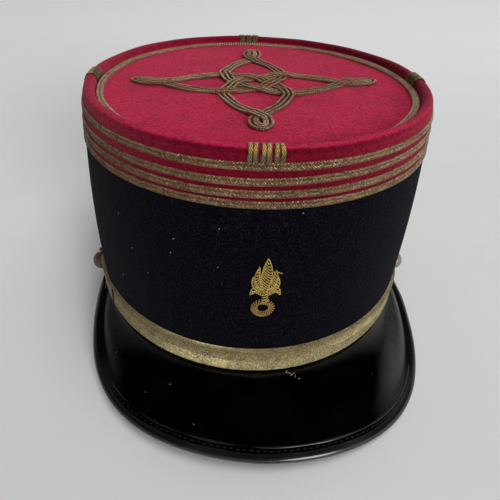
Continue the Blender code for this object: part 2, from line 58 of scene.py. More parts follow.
REAR_BULGE_TURN = math.radians(128.0)
HEIGHT_FRONT = 0.096
HEIGHT_REAR = 0.1066
TOP_SLOPE = (HEIGHT_REAR - HEIGHT_FRONT) / (2 * TOP_HALF_LENGTH)
COLOUR_SPLIT = 0.0764
WALL = 0.0025
RIM_ROUND = 0.0022
RECESS = 0.0045
TOP_DISC = 0.0020
# Waves of the top disc's sag, in radians a metre.
QUILT_ACROSS = 110
QUILT_ALONG = 95
FRONT = -math.pi / 2
SPLIT = COLOUR_SPLIT / HEIGHT_FRONT
SHOULDER = 1 - RIM_ROUND / HEIGHT_FRONT
TOP_UP = np.array([-TOP_ROLL, -TOP_SLOPE, 1.0])
RIM_SQUARE = 0.75
# Share of the height at which the wall's outer face begins.
HEM = 0.006

# The cap rests on the wall's rear edge and the visor's rim.
REST_TILT = math.radians(6.6571)
REST_SHIFT = (0.0006562, 0.0160392, 0.0114630)

BRAIDS = {
    "braid_1": {"low": 0.0885, "rise_right": 0.0002, "phase": 0.3},
    "braid_2": {"low": 0.0832, "rise_right": 0.0010, "phase": 1.9},
    "braid_3": {"low": 0.0791, "rise_right": 0.0001, "phase": 3.1},
    "braid_4": {"low": 0.0752, "rise_right": 0.0000, "phase": 4.4},
}
BRAID_TALL = 0.0028
BRAID_OUT = 0.0008
BRAID_CLIMB = 2 * math.pi * 0.80
CLIMB_RATE = 3.2
RING_INSET = 0.0065
RING_HALF = 0.0017
RING_TALL = 0.0012
RING_LOOSE = 0.55
RING_LOOSE_WIDE = 0.33

BAR_SIDES = {"front": -91.0, "rear": 91.3, "left": 182.0, "right": -1.0}
BAR_PITCH = 0.0043
BAR_FOOT = 0.0914
BAR_CORD = 0.00090
BAR_SQUASH = 0.46
BAR_CREST = 0.42
BAR_STEP = 0.00025

# Cord knot: for each arm its direction, its crossing and tip from the centre, how far they have
# slipped sideways, and the pitch of its three cords.
KNOT_CENTRE = (-0.0011, -0.0109)
KNOT_ARMS = {
    "rear": {"turn": 90.0, "node": 0.0467, "tip": 0.0694, "slip": (0.0002, 0.0015), "pitch": 0.0023},
    "left": {"turn": 180.0, "node": 0.0424, "tip": 0.0584, "slip": (-0.0013, 0.0030), "pitch": 0.0023},
    "front": {"turn": -90.0, "node": 0.0443, "tip": 0.0594, "slip": (0.0, -0.0006), "pitch": 0.0020},
    "right": {"turn": 0.0, "node": 0.0440, "tip": 0.0606, "slip": (-0.0037, -0.0077), "pitch": 0.0023},
}
KNOT_CORNER = 0.0172
# Middle cord down one side of an arm: across and along in metres from the knot's centre out to the
# arm's shoulder, then with along as a share of the crossing's distance.
KNOT_BELLY = [
    {"across": 0.0047, "along": -0.0047},
    {"across": 0.0088, "along": 0.0005},
    {"across": 0.0130, "along": 0.0095},
    {"across": 0.0143, "along": 0.0174},
]
KNOT_NECK = [
    {"across": 0.0128, "share": 0.51},
    {"across": 0.0085, "share": 0.74},
    {"across": 0.0000, "share": 1.00},
]
# The looped end: across in metres, along as a share from the crossing to the middle cord's tip.
KNOT_LOOP = [
    {"across": -0.0020, "share": 0.30},
    {"across": -0.0024, "share": 0.60},
    {"across": -0.0018, "share": 0.88},
]
CORD_HALF = 0.00074
CORD_TALL = 0.00085
CORD_STEP = 0.0004
KNOT_LIFT = 0.0007
WEAVE_REACH = 0.0040
WEAVE_REST = 0.35
MIDDLE_SPREAD = 0.0004
MIDDLE_WIDE = 0.012
LOOP_SQUEEZE = 0.45
LOOP_LIFT = 0.0003

STRAP_LOW = 0.0006
STRAP_TALL = 0.0111
STRAP_THICK = 0.0012
STRAP_ROUND = 0.0055
STRAP_PAST = 0.0006
STRAP_RIB = 0.0011
STRAP_NARROW = 0.16
STRAP_SINK = 0.40
SINK_TURN = math.radians(58)
SINK_SPAN = math.radians(20)
BUTTON_ANGLES = {"button_left": -75.5, "button_right": 76.5}
BUTTON_HEIGHT = 0.0052
BUTTON = {
    "radius": 0.0048, "dome": 0.0042, "edge": 0.0010, "dome_turns": (3, 84, 14), "steps": 40,
    "foot": [(1.00, 0.0012), (1.03, 0.0009), (1.03, 0.0005), (0.97, 0.0002), (0.5, 0.0001),
             (0.1, 0.0001)],
}
KEEPER_ANGLE = 55.5
KEEPER_WIDE = 0.0011
KEEPER_LEAN = math.radians(1.6)
EYELET_ANGLE = 74.0
EYELET_HEIGHT = 0.0140
EYELET = {
    "radius": 0.0009, "dome": 0.0008, "edge": 0.0014, "dome_turns": (6, 90, 7), "steps": 18,
    "foot": [(0.8, 0.0004), (0.7, -0.0004), (0.1, -0.0004)],
}
GAP = 0.0003

BADGE_ACROSS = 0.0009
BADGE_FOOT = 0.0297

VISOR_HALF_WIDTH = 0.0831
VISOR_REACH = 0.1296
VISOR_SIDE_POWER = 1.85
VISOR_FRONT_POWER = 4.58
VISOR_OFFSET = -0.0014
VISOR_SKEW = 0.0402
VISOR_SLOPE = math.radians(33.0)
VISOR_WING = math.radians(69.0)
VISOR_TAPER_TURN = math.radians(61.0)
VISOR_TAPER = 0.38
VISOR_HALF_THICK = 0.0009
VISOR_STEP = 0.0009
VISOR_TUCK = 0.0018
VISOR_START = math.tan(math.radians(6.0))
VISOR_BEND = 0.0078
VISOR_NEAREST = 0.05
VISOR_FARTHEST = 0.20
BLADE_SHORT = 0.0022
DULL_TURN = math.radians(33)
DULL_SPAN = math.radians(20)
SHADOW_WIDE = 0.0018
BINDING_WIDE = 0.0068
BINDING_HALF = 0.0019
BINDING_ROOM = 0.0008
# The binding's section after its bead: inward from the rim, above the blade's middle.
BINDING_SECTION = [
    (0.0020, 0.00188), (0.0027, 0.00178), (0.0033, 0.00158), (0.0038, 0.00136), (0.0043, 0.00124),
    (0.0048, 0.00126), (0.0053, 0.00146), (0.0057, 0.00170), (0.0061, 0.00180), (0.0065, 0.00170),
    (0.0068, 0.00135), (0.0068, 0.00098), (0.0055, 0.00088), (0.0023, 0.00060), (0.0023, -0.00100),
    (0.0050, -0.00110), (0.0068, -0.00118), (0.0067, -0.00165), (0.0045, -0.00185),
]

# Camera, in the cap's frame.
CAMERA_SPOT = (-0.01216, -0.22454, 0.14262)
CAMERA_TURN = 0.05549
CAMERA_DIP = 0.57949
CAMERA_ROLL = 0.03737
LENS_MM = 30.94

# Light: the soft lamp overhead, how bright the rear and the low walls are, and the small window.
LAMP_SPOT = (0.45, -0.25, 2.65)
LAMP_AIM = (0.0, 0.0, 0.05)
LAMP_WIDE = 2.20
LAMP_POWER = 33.0
REAR_GLOW = 0.95
LOW_GLOW = 0.90
WINDOW_WAY = (0.45, -0.82, 0.35)
WINDOW_GLOW = 12.0

# Steps round or along the surfaces.
WALL_STEPS = 288
DISC_STEPS = 192
BRAID_STEPS = 2300
RING_STEPS = 2000
STRAP_STEPS = 900
BLADE_STEPS = 265
BINDING_STEPS = 361
STITCH_STEPS = 1200

# Unevenness of hand work and wear: how far cloth sags, cords stray, and leather dents.
WALL_SAG = 0.00030
UPPER_SAG = 0.00015
RIM_SAG = 0.00020
DISC_SAG = 0.00035
BRAID_STRAY = 0.00018
RING_STRAY = 0.00022
RING_WAVE = 0.00008
BAR_STRAY = 0.00014
KNOT_WAVE = 0.00010
STRAP_DIP = 0.00020
STRAP_RELIEF = 0.00006
BLADE_DENT = 0.00016
BLADE_WAVE = 0.00007
BINDING_WAVE = 0.00005
STITCH_STRAY = 0.00012

# Cords: the groove of a plait, how far its strands lean and swell, a twisted cord's relief, and the
# steps of a curve between two of its points.
GROOVE_WIDE = 0.34
STRAND_LEAN = 1.2
STRAND_SWELL = 0.34
STRAND_RELIEF = 0.14
SPAN_STEPS = 14
# Folds sharper than this are shaded as edges.
SHARP_FOLD = math.radians(50)

REST = Matrix.Translation(REST_SHIFT) @ Matrix.Rotation(-REST_TILT, 4, "X")
rng = np.random.default_rng(7)


# ---------------------------------------------------------------- numbers along a shape
def unit(vectors):
    """Rows of vectors, each made one long."""
    return vectors / np.linalg.norm(vectors, axis=1)[:, None]


def fade(value, start, span):
    """0 at start, 1 at start + span, straight between and held outside; span may be negative."""
    return np.clip((value - start) / span, 0, 1)


def bell(value, wide):
    """Bell curve, exp(-(value / wide)^2)."""
    return np.exp(-(value / wide) ** 2)


# ---------------------------------------------------------------- the cap's surfaces
def oval_normal(angle, rise):
    """Outward normal in plan of an oval between base and top: (cos/wide, sin/long), made unit."""
    wide = BASE_HALF_WIDTH + (TOP_HALF_WIDTH - BASE_HALF_WIDTH) * rise
    long = BASE_HALF_LENGTH + (TOP_HALF_LENGTH - BASE_HALF_LENGTH) * rise
    across, along = np.cos(angle) / wide, np.sin(angle) / long
    size = np.hypot(across, along)
    return np.stack([across / size, along / size, np.zeros_like(size)], -1)


def top_height(across, along):
    """Height of the sloping top plane over a point of the plan."""
    return HEIGHT_FRONT + TOP_SLOPE * (along - TOP_SHIFT + TOP_HALF_LENGTH) + TOP_ROLL * across


def top_edge(angle):
    """Top oval: an ellipse that bulges at the rear by REAR_BULGE cos^6 of the turn from there."""
    bulge = REAR_BULGE * np.maximum(0.0, np.cos(angle - REAR_BULGE_TURN)) ** 6
    normal = oval_normal(angle, 1.0)
    across = TOP_LEAN + TOP_HALF_WIDTH * np.cos(angle) + normal[..., 0] * bulge
    along = TOP_SHIFT + TOP_HALF_LENGTH * np.sin(angle) + normal[..., 1] * bulge
    return np.stack([across, along, top_height(across, along)], -1)


def wall_point(angle, rise, out=0.0):
    """Straight line from the base oval to the top oval, bulged at the sides, moved out by out."""
    angle, rise, out = np.broadcast_arrays(angle, rise, out)
    cos, sin = np.cos(angle), np.sin(angle)
    base = np.stack([BASE_LEAN + BASE_HALF_WIDTH * cos, BASE_HALF_LENGTH * sin, 0 * cos], -1)
    bulge = SIDE_BULGE * 4 * rise * (1 - rise) * cos * cos
    place = base + (top_edge(angle) - base) * rise[..., None]
    return place + oval_normal(angle, rise) * (out + bulge)[..., None]


def wall_at(angle, height, out=0.0):
    """Wall point at a true height above the base."""
    return wall_point(angle, height / top_edge(np.asarray(angle, float))[..., 2], out)


def top_point(angle, inset, drop):
    """Point inset from the top oval's edge and drop below the sloping top plane."""
    angle, inset, drop = np.broadcast_arrays(angle, inset, drop)
    point = top_edge(angle) - oval_normal(angle, 1.0) * inset[..., None]
    point[..., 2] = top_height(point[..., 0], point[..., 1]) - drop
    return point


def raised(surface, first, second, out):
    """Path over a surface at a height out from it, and the unit direction away from it."""
    path = surface(first, second, out)
    return path, unit(surface(first, second, out + 0.001) - path)


def ring_angles(steps):
    """Equal steps of the oval's parameter, once round."""
    return np.arange(steps) * (2 * math.pi / steps)


def ripple(angle, phase, waves=(3, 5, 8)):
    """Smooth closed waviness round the cap: a sum of a few sines, about -1 to 1."""
    return sum(np.sin(k * angle + phase * (1 + 0.7 * k)) for k in waves) / len(waves)


def in_room(points):
    """Carry points of the cap's frame to where the cap rests: one turn about X, one shift."""
    turn = np.array(REST.to_3x3())
    return np.asarray(points) @ turn.T + np.array(REST_SHIFT)


# ---------------------------------------------------------------- making meshes
def shape(grid, along, across, ring=False, tone=0.0, lean=0.0):
    """Quads over a (rows, cols, 3) grid whose columns close into a tube. ring joins the last row to
    the first; otherwise a ladder of quads from side to side closes each end.
    The UV map runs along + lean and across in metres, and tone is one number for each point."""
    rows, cols = grid.shape[:2]
    index = np.arange(rows * cols).reshape(rows, cols)
    if ring:
        index = np.vstack([index, index[:1]])
    index = np.hstack([index, index[:, :1]])
    along = np.broadcast_to(np.asarray(along)[:, None] + lean, index.shape)
    across = np.broadcast_to(np.asarray(across)[None, :], index.shape)
    corners = [(slice(None, -1), slice(None, -1)), (slice(None, -1), slice(1, None)),
               (slice(1, None), slice(1, None)), (slice(1, None), slice(None, -1))]
    quads = np.stack([index[c] for c in corners], -1).reshape(-1, 4)
    uv = np.stack([np.stack([along[c], across[c]], -1) for c in corners], -2).reshape(-1, 4, 2)
    if not ring:
        step = np.arange(cols // 2 - 1)
        rung = np.stack([step, step + 1, cols - 2 - step, cols - 1 - step], -1)
        ends = np.vstack([rung[:, ::-1], rung + (rows - 1) * cols])
        quads = np.vstack([quads, ends])
        uv = np.concatenate([uv, np.zeros((len(ends), 4, 2))])
    points = grid.reshape(-1, 3)
    a, b, c, d = (points[quads[:, k]] for k in range(4))
    if np.einsum("ij,ij->", a, np.cross(b, c) + np.cross(c, d)) < 0:
        quads, uv = quads[:, ::-1], uv[:, ::-1]
    tones = np.broadcast_to(tone, grid.shape[:2]).ravel()
    return {"points": points, "quads": quads, "uv": uv, "tone": tones}


def ring_of(grid, tone=0.0):
    """Shape of a (angles, section, 3) grid closed both ways, its UV map in metres."""
    return shape(grid, lengths(grid[:, 0], ring=True), lengths(grid[0], ring=True), ring=True,
                 tone=tone)


def band_of(grid, column, tone):
    """Shape of a (turns, section, 3) grid with two ends; its UV map is in metres along one column and
    across the middle section."""
    return shape(grid, lengths(grid[:, column]), lengths(grid[len(grid) // 2], ring=True), tone=tone)


def new_item(name, data):
    """A new object in the scene."""
    item = bpy.data.objects.new(name, data)
    bpy.context.scene.collection.objects.link(item)
    return item


def piece(name, shapes, paint, replaces=()):
    """One object from several shapes, in the room, riding on the cap."""
    points = in_room(np.concatenate([part["points"] for part in shapes]))
    firsts = np.cumsum([0] + [len(part["points"]) for part in shapes[:-1]])
    quads = np.concatenate([part["quads"] + first for part, first in zip(shapes, firsts)])
    uv = np.concatenate([part["uv"] for part in shapes])
    mesh = bpy.data.meshes.new(name)
    mesh.vertices.add(len(points))
    mesh.vertices.foreach_set("co", points.astype(np.float32).ravel())
    mesh.loops.add(quads.size)
    mesh.loops.foreach_set("vertex_index", quads.astype(np.int32).ravel())
    mesh.polygons.add(len(quads))
    mesh.polygons.foreach_set("loop_start", np.arange(0, quads.size, 4, dtype=np.int32))
    mesh.update(calc_edges=True)
    mesh.uv_layers.new(name="run").data.foreach_set("uv", uv.astype(np.float32).ravel())
    tone = mesh.attributes.new("tone", "FLOAT", "POINT")
    tone.data.foreach_set("value", np.concatenate([p["tone"] for p in shapes]).astype(np.float32))
    mesh.shade_smooth()
    mesh.set_sharp_from_angle(angle=SHARP_FOLD)
    mesh.materials.append(paint)
    item = new_item(name, mesh)
    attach(item, "root")
    if replaces:
        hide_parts(*replaces)
    return item


def lengths(path, ring=False):
    """Metres along a path to each of its points, with the whole length last on a ring."""
    steps = np.diff(np.vstack([path, path[:1]]) if ring else path, axis=0)
    return np.concatenate([[0.0], np.cumsum(np.linalg.norm(steps, axis=1))])


def resample(path, step, ring=False):
    """The same path with points a step apart, by straight interpolation along its length."""
    run = lengths(path, ring)
    whole = np.vstack([path, path[:1]]) if ring else path
    pieces = max(4, int(round(run[-1] / step)))
    places = np.linspace(0.0, run[-1], pieces + (not ring), endpoint=not ring)
    return np.stack([np.interp(places, run, whole[:, k]) for k in range(whole.shape[1])], -1)


def smooth_curve(points, ring=False):
    """Catmull-Rom curve through points: each span is the cubic with the neighbours' slopes."""
    points = np.asarray(points, float)
    if ring:
        padded = np.vstack([points[-1:], points, points[:2]])
    else:
        padded = np.vstack([2 * points[:1] - points[1:2], points, 2 * points[-1:] - points[-2:-1]])
    t = np.linspace(0, 1, SPAN_STEPS, endpoint=False)[:, None]
    spans = []
    for a, b, c, d in zip(padded, padded[1:], padded[2:], padded[3:]):
        spans.append(0.5 * (2 * b + (c - a) * t + (2 * a - 5 * b + 4 * c - d) * t ** 2
                            + (3 * b - a - 3 * c + d) * t ** 3))
    if not ring:
        spans.append(points[-1:])
    return np.vstack(spans)


def directions(path, ring=False):
    """Unit tangent at each point, from its two neighbours."""
    if ring:
        ahead, behind = np.roll(path, -1, 0), np.roll(path, 1, 0)
    else:
        ahead = np.vstack([path[1:], path[-1:]])
        behind = np.vstack([path[:1], path[:-1]])
    return unit(ahead - behind)


def soutache(path, up, half, tall, pitch=0.0010, tone=0.0, around=20, back=0.25, groove=0.62,
             aside=0.0):
    """A flat plait along a closed path, half cos(t) across. Its upper side is
    tall sin(t)^0.8 (1 - groove exp(-((cos(t) - aside) / GROOVE_WIDE)^2)), two ridges beside a groove,
    its strands swell as |sin(pi (length / pitch - lean))| and lean both ways from the groove, and
    its back is nearly flat. The UV map counts across from the groove."""
    side = unit(np.cross(directions(path, ring=True), up))
    turn = ring_angles(around)
    run = lengths(path, ring=True)
    across, rise = np.cos(turn), np.sin(turn)
    off = across - aside
    lean = np.abs(off)[None] * half / pitch * STRAND_LEAN
    strand = np.abs(np.sin(math.pi * (run[:-1, None] / pitch - lean)))
    ridges = np.maximum(rise, 0) ** 0.8 * (1 - groove * bell(off, GROOVE_WIDE))
    height = np.where(rise > 0, tall * ridges, tall * rise * back)
    swell = 1 + STRAND_SWELL * (strand ** 0.6 - 0.75) * (rise > -0.1)
    grid = (path[:, None] + side[:, None] * (half * across * (0.85 + 0.15 * swell))[..., None]
            + up[:, None] * (height * swell)[..., None])
    return shape(grid, run, np.append(off, off[0]) * half, ring=True, tone=tone)


def twisted(path, up, radius, strands=3, lay=0.0033, tone=0.0, around=10, squash=1.0):
    """A twisted cord: radius (1 + STRAND_RELIEF cos(strands t - 2 pi length / lay)) round the path.
    Its UV map leans with the strands, and its v is radius cos(t)."""
    tangent = directions(path)
    side = unit(np.cross(tangent, up))
    lift = np.cross(side, tangent)
    turn = ring_angles(around)
    run = lengths(path)
    twist = strands * turn[None] - 2 * math.pi * run[:, None] / lay
    size = radius * (1 + STRAND_RELIEF * np.cos(twist))
    grid = (path[:, None] + side[:, None] * (size * np.cos(turn))[..., None]
            + lift[:, None] * (size * np.sin(turn) * squash)[..., None])
    whole = np.append(turn, 2 * math.pi)
    lean = -strands * whole * lay / (2 * math.pi)
    return shape(grid, run, radius * np.cos(whole), tone=tone, lean=lean)


def turned(profile, steps, place, away, tone=0.0):
    """A turned piece: (radius, height) points swept round, standing at place along away."""
    turn = ring_angles(steps)
    radius, height = np.array(profile).T
    flat = np.stack([radius[:, None] * np.cos(turn), radius[:, None] * np.sin(turn),
                     np.broadcast_to(height[:, None], (len(profile), steps))], -1)
    spin = np.array(Vector(away).to_track_quat("Z", "Y").to_matrix())
    grid = flat @ spin.T + np.asarray(place)
    return shape(grid, np.arange(len(profile)) * 0.001, np.arange(steps + 1) * 0.001, tone=tone)


# ---------------------------------------------------------------- paint: node helpers
def wire(tree, target, value):
    """Set a socket to a value, or link another socket into it."""
    if isinstance(value, bpy.types.NodeSocket):
        tree.links.new(value, target)
    elif hasattr(target.default_value, "__len__"):
        size = len(target.default_value)
        target.default_value = (*value, 1.0)[:size]
    else:
        target.default_value = value


def fill(tree, node, **named):
    """Set or link a node's input sockets by name (_ for a space); returns the node."""
    for key, value in named.items():
        wire(tree, node.inputs[key.replace("_", " ")], value)
    return node


def add(tree, kind, *values, settings=(), **named):
    """Add a node; values fill its sockets in order and named ones by name."""
    node = tree.nodes.new("ShaderNode" + kind)
    for key, value in dict(settings).items():
        setattr(node, key, value)
    for socket, value in zip(node.inputs, values):
        if value is not None:
            wire(tree, socket, value)
    return fill(tree, node, **named)


def compute(tree, operation, *values):
    """Result of one Math node."""
    return add(tree, "Math", *values, settings={"operation": operation}).outputs[0]


def times(tree, first, second):
    """Product of two values."""
    return compute(tree, "MULTIPLY", first, second)


def ramp(tree, value, low, high, start=0.0, end=1.0):
    """Smooth step: value from low to high becomes start to end, held outside."""
    node = add(tree, "MapRange", value, low, high, start, end,
               settings={"interpolation_type": "SMOOTHSTEP"})
    return node.outputs[0]


def blend(tree, share, first, second, kind="MIX"):
    """Mix two colours by a share from 0 to 1."""
    node = tree.nodes.new("ShaderNodeMix")
    node.data_type = "RGBA"
    node.blend_type = kind
    wire(tree, node.inputs[0], share)
    wire(tree, node.inputs[6], first)
    wire(tree, node.inputs[7], second)
    return node.outputs[2]


def noise(tree, place, size, detail=2.0, rough=0.5):
    """Noise with features of about this size in metres; about 0.5 on average."""
    return add(tree, "TexNoise", place, Scale=1.0 / size, Detail=detail, Roughness=rough).outputs[0]


def new_group(name, takes, gives):
    """An empty node group with named inputs {name: (kind, value)} and outputs {name: kind}; returns
    it, its inputs' sockets and the node that gives its outputs."""
    group = bpy.data.node_groups.new(name, "ShaderNodeTree")
    for label, (kind, value) in takes.items():
        socket = group.interface.new_socket(label, in_out="INPUT", socket_type="NodeSocket" + kind)
        if value is not None:
            socket.default_value = value
    for label, kind in gives.items():
        group.interface.new_socket(label, in_out="OUTPUT", socket_type="NodeSocket" + kind)
    inside = group.nodes.new("NodeGroupInput")
    outside = group.nodes.new("NodeGroupOutput")
    return group, inside.outputs, outside


def use(tree, group, **named):
    """Place a group in a material."""
    node = tree.nodes.new("ShaderNodeGroup")
    node.node_tree = group
    return fill(tree, node, **named).outputs


def new_paint(name, **sockets):
    """A material with plain Principled sockets; returns it, its tree and its shader."""
    paint = bpy.data.materials.new(name)
    paint.use_nodes = True
    tree = paint.node_tree
    return paint, tree, fill(tree, tree.nodes["Principled BSDF"], **sockets)


def object_place(tree):
    """Place in the cap's resting frame, in metres."""
    return add(tree, "TexCoord").outputs["Object"]


def run_map(tree):
    """The piece's own UV map: metres along and across."""
    return add(tree, "UVMap", settings={"uv_map": "run"}).outputs[0]


def tone_of(tree):
    """The piece's own tone, one number for each point."""
    return add(tree, "Attribute", settings={"attribute_name": "tone"}).outputs["Fac"]


def bumped(tree, shader, height, distance, strength=1.0, coat=False):
    """Bump for the surface, and for its coat where it has one that shows the grain."""
    normal = add(tree, "Bump", Strength=strength, Distance=distance, Height=height).outputs[0]
    fill(tree, shader, Normal=normal)
    if coat:
        fill(tree, shader, Coat_Normal=normal)


# ---------------------------------------------------------------- paint: shared effects
def nap_group():
    """Felted wool: soft mottles, fine fibres and a few pale hairs."""
    tree, takes, gives = new_group(
        "wool_nap",
        {"Place": ("Vector", None), "Cloth": ("Color", (0.5, 0.5, 0.5, 1)),
         "Pale": ("Color", (0.8, 0.8, 0.8, 1)), "Deep": ("Color", (0.2, 0.2, 0.2, 1)),
         "Pale Hairs": ("Float", 0.2), "Mottle Size": ("Float", 0.0016)},
        {"Colour": "Color", "Height": "Float"})
    place = takes["Place"]
    across = compute(tree, "DIVIDE", 1.0, takes["Mottle Size"])
    mottle = add(tree, "TexNoise", place, Scale=across, Detail=3.0, Roughness=0.65).outputs[0]
    broad = noise(tree, place, size=0.014, detail=2.0, rough=0.5)
    fibre = noise(tree, place, size=0.00060, detail=2.0, rough=0.6)
    stretched = add(tree, "Mapping", place, Scale=(1.0, 1.0, 0.35)).outputs[0]
    hair = noise(tree, stretched, size=0.0007, detail=1.0, rough=0.5)
    deep = compute(tree, "ADD", ramp(tree, mottle, 0.56, 0.38, 0.0, 0.80),
                   ramp(tree, broad, 0.55, 0.35, 0.0, 0.20))
    colour = blend(tree, deep, takes["Cloth"], takes["Deep"])
    for pattern, low, high in ((fibre, 0.50, 0.68), (hair, 0.62, 0.74)):
        pale = times(tree, ramp(tree, pattern, low, high), takes["Pale Hairs"])
        colour = blend(tree, pale, colour, takes["Pale"])
    fill(tree, gives, Colour=colour, Height=compute(tree, "ADD", mottle, times(tree, fibre, 0.8)))
    return tree


def gilt_group():
    """Gilt wire thread: strands leaning both ways from the middle with painted shade between them,
    painted shade in the groove and along the edges, painted glints, and brown, tarnished patches."""
    # The Tarnish input colours both the real tarnished patches and the painted shade.
    tree, takes, gives = new_group(
        "gilt_thread",
        {"Place": ("Vector", None), "Run": ("Vector", None), "Gold": ("Color", (0.6, 0.45, 0.2, 1)),
         "Glint": ("Color", (0.9, 0.75, 0.45, 1)), "Tarnish": ("Color", (0.1, 0.06, 0.04, 1)),
         "Tarnish Share": ("Float", 0.4), "Strand": ("Float", 0.0006), "Half": ("Float", 0.0014),
         "Groove": ("Float", 0.0), "Edge": ("Float", 0.0), "Lean": ("Float", 1.2)},
        {"Colour": "Color", "Roughness": "Float", "Height": "Float"})
    split = add(tree, "SeparateXYZ", takes["Run"]).outputs
    aside = compute(tree, "ABSOLUTE", split[1])
    slant = compute(tree, "SUBTRACT", split[0], times(tree, aside, takes["Lean"]))
    phase = times(tree, compute(tree, "DIVIDE", slant, takes["Strand"]), 2 * math.pi)
    strand = compute(tree, "MULTIPLY_ADD", compute(tree, "SINE", phase), 0.5, 0.5)
    share = compute(tree, "DIVIDE", aside, takes["Half"])
    # groove and edge are masks of painted shade.
    groove = times(tree, ramp(tree, share, 0.40, 0.12), takes["Groove"])
    edge = times(tree, ramp(tree, share, 0.50, 0.95), takes["Edge"])
    patch = noise(tree, takes["Place"], size=0.006, detail=3.0, rough=0.6)
    fine = noise(tree, takes["Place"], size=0.00070, detail=2.0, rough=0.65)
    stain = times(tree, ramp(tree, patch, 0.38, 0.64), takes["Tarnish Share"])
    stain = compute(tree, "ADD", stain, ramp(tree, fine, 0.50, 0.36, 0.0, 0.60))
    # Painted shade between the strands, in the Tarnish colour.
    colour = blend(tree, ramp(tree, strand, 0.60, 0.05, 0.0, 0.85), takes["Gold"], takes["Tarnish"])
    colour = blend(tree, stain, colour, takes["Tarnish"])
    # Painted glints on the strands' crests.
    painted_glint_mask = times(tree, ramp(tree, fine, 0.52, 0.64), ramp(tree, strand, 0.3, 0.9))
    colour = blend(tree, painted_glint_mask, colour, takes["Glint"])
    # Painted shade in the groove and along the edges.
    colour = blend(tree, compute(tree, "MAXIMUM", groove, edge), colour, takes["Tarnish"])
    fill(tree, gives, Colour=colour, Roughness=ramp(tree, stain, 0.0, 0.8, 0.28, 0.66),
         Height=compute(tree, "ADD", strand, fine))
    return tree


def dust_group():
    """Dust and handling: sparse pale specks, and a broad haze."""
    tree, takes, gives = new_group(
        "dust", {"Place": ("Vector", None), "Speck Size": ("Float", 0.006)},
        {"Specks": "Float", "Haze": "Float"})
    spots = add(tree, "TexVoronoi", takes["Place"], Randomness=1.0,
                Scale=compute(tree, "DIVIDE", 1.0, takes["Speck Size"]))
    rare = add(tree, "SeparateColor", spots.outputs["Color"]).outputs[0]
    specks = times(tree, ramp(tree, spots.outputs["Distance"], 0.07, 0.03),
                   ramp(tree, rare, 0.80, 0.84))
    haze = noise(tree, takes["Place"], size=0.020, detail=3.0, rough=0.55)
    fill(tree, gives, Specks=specks, Haze=haze)
    return tree


NAP = nap_group()
GILT = gilt_group()
DUST = dust_group()


# ---------------------------------------------------------------- paint: the cap's finishes
def wool(name, cloth, pale, deep, hairs, mottle, sheen, tint, gloss, shade=(1.0, 1.0, 1.0)):
    """Wool felt; shade multiplies the colour where the piece's tone is 1."""
    paint, tree, shader = new_paint(name, Roughness=0.95, Specular_IOR_Level=gloss,
                                    Sheen_Weight=sheen, Sheen_Roughness=0.45, Sheen_Tint=tint)
    nap = use(tree, NAP, Place=object_place(tree), Cloth=cloth, Pale=pale, Deep=deep,
              Pale_Hairs=hairs, Mottle_Size=mottle)
    # Painted shade: the colour multiplied by shade.
    shaded_colour = blend(tree, 1.0, nap["Colour"], shade, "MULTIPLY")
    fill(tree, shader, Base_Color=blend(tree, tone_of(tree), nap["Colour"], shaded_colour))
    bumped(tree, shader, nap["Height"], distance=0.0007, strength=0.7)
    return paint


def gilt(name, gold, painted_glint, tarnish_and_shade, share, strand, half=0.0014, groove=0.0, edge=0.0, lean=1.2,
         metal=0.45, dirt_and_shade=(0.030, 0.017, 0.012)):
    """Gilt thread; share is how much of it is tarnished, groove and edge how much painted shade
    darkens its groove and edges, and dirt_and_shade its colour where the piece's tone is 1: stains on
    some pieces, painted shade on others."""
    paint, tree, shader = new_paint(name, Metallic=metal, Specular_IOR_Level=0.4)
    thread = use(tree, GILT, Place=object_place(tree), Run=run_map(tree), Gold=gold, Glint=painted_glint,
                 Tarnish=tarnish_and_shade, Tarnish_Share=share, Strand=strand, Half=half, Groove=groove,
                 Edge=edge, Lean=lean)
    fill(tree, shader, Base_Color=blend(tree, tone_of(tree), thread["Colour"], dirt_and_shade),
         Roughness=thread["Roughness"])
    bumped(tree, shader, thread["Height"], distance=0.00030, strength=0.8)
    return paint


def patent_leather():
    """Black patent: dull and scuffed where the tone is 1, black without gloss, a painted shadow, where
    it is -1.
    """
    paint, tree, shader = new_paint("patent leather", Specular_IOR_Level=0.0, Coat_IOR=1.5,
                                    Coat_Roughness=0.06)
    place = object_place(tree)
    dust = use(tree, DUST, Place=place, Speck_Size=0.009)
    tone = tone_of(tree)
    haze = ramp(tree, dust["Haze"], 0.40, 0.75, 0.0, 0.0015)
    patch = noise(tree, place, size=0.0032, detail=4.0, rough=0.65)
    dull = times(tree, ramp(tree, tone, 0.0, 1.0), ramp(tree, patch, 0.36, 0.64, 0.15, 1.0))
    worn = blend(tree, dull, (0.0004, 0.0004, 0.0004), (0.012, 0.012, 0.011))
    pale = compute(tree, "ADD", haze, times(tree, dust["Specks"], 0.05))
    # Where the tone is -1 the gloss is nearly gone: a painted shadow along the binding.
    gloss = times(tree, ramp(tree, tone, -1.0, 0.0, 0.04, 1.0),
                  times(tree, ramp(tree, dull, 0.0, 1.0, 1.0, 0.45),
                        ramp(tree, tone, 0.0, 1.0, 1.0, 0.38)))
    fill(tree, shader, Base_Color=blend(tree, pale, worn, (0.6, 0.58, 0.55)),
         Roughness=ramp(tree, dust["Haze"], 0.3, 0.8, 0.16, 0.40), Coat_Weight=gloss)
    grain = compute(tree, "ADD", noise(tree, place, size=0.012, detail=2.0), times(tree, patch, 0.25))
    bumped(tree, shader, grain, distance=0.0006, strength=0.18, coat=True)
    return paint


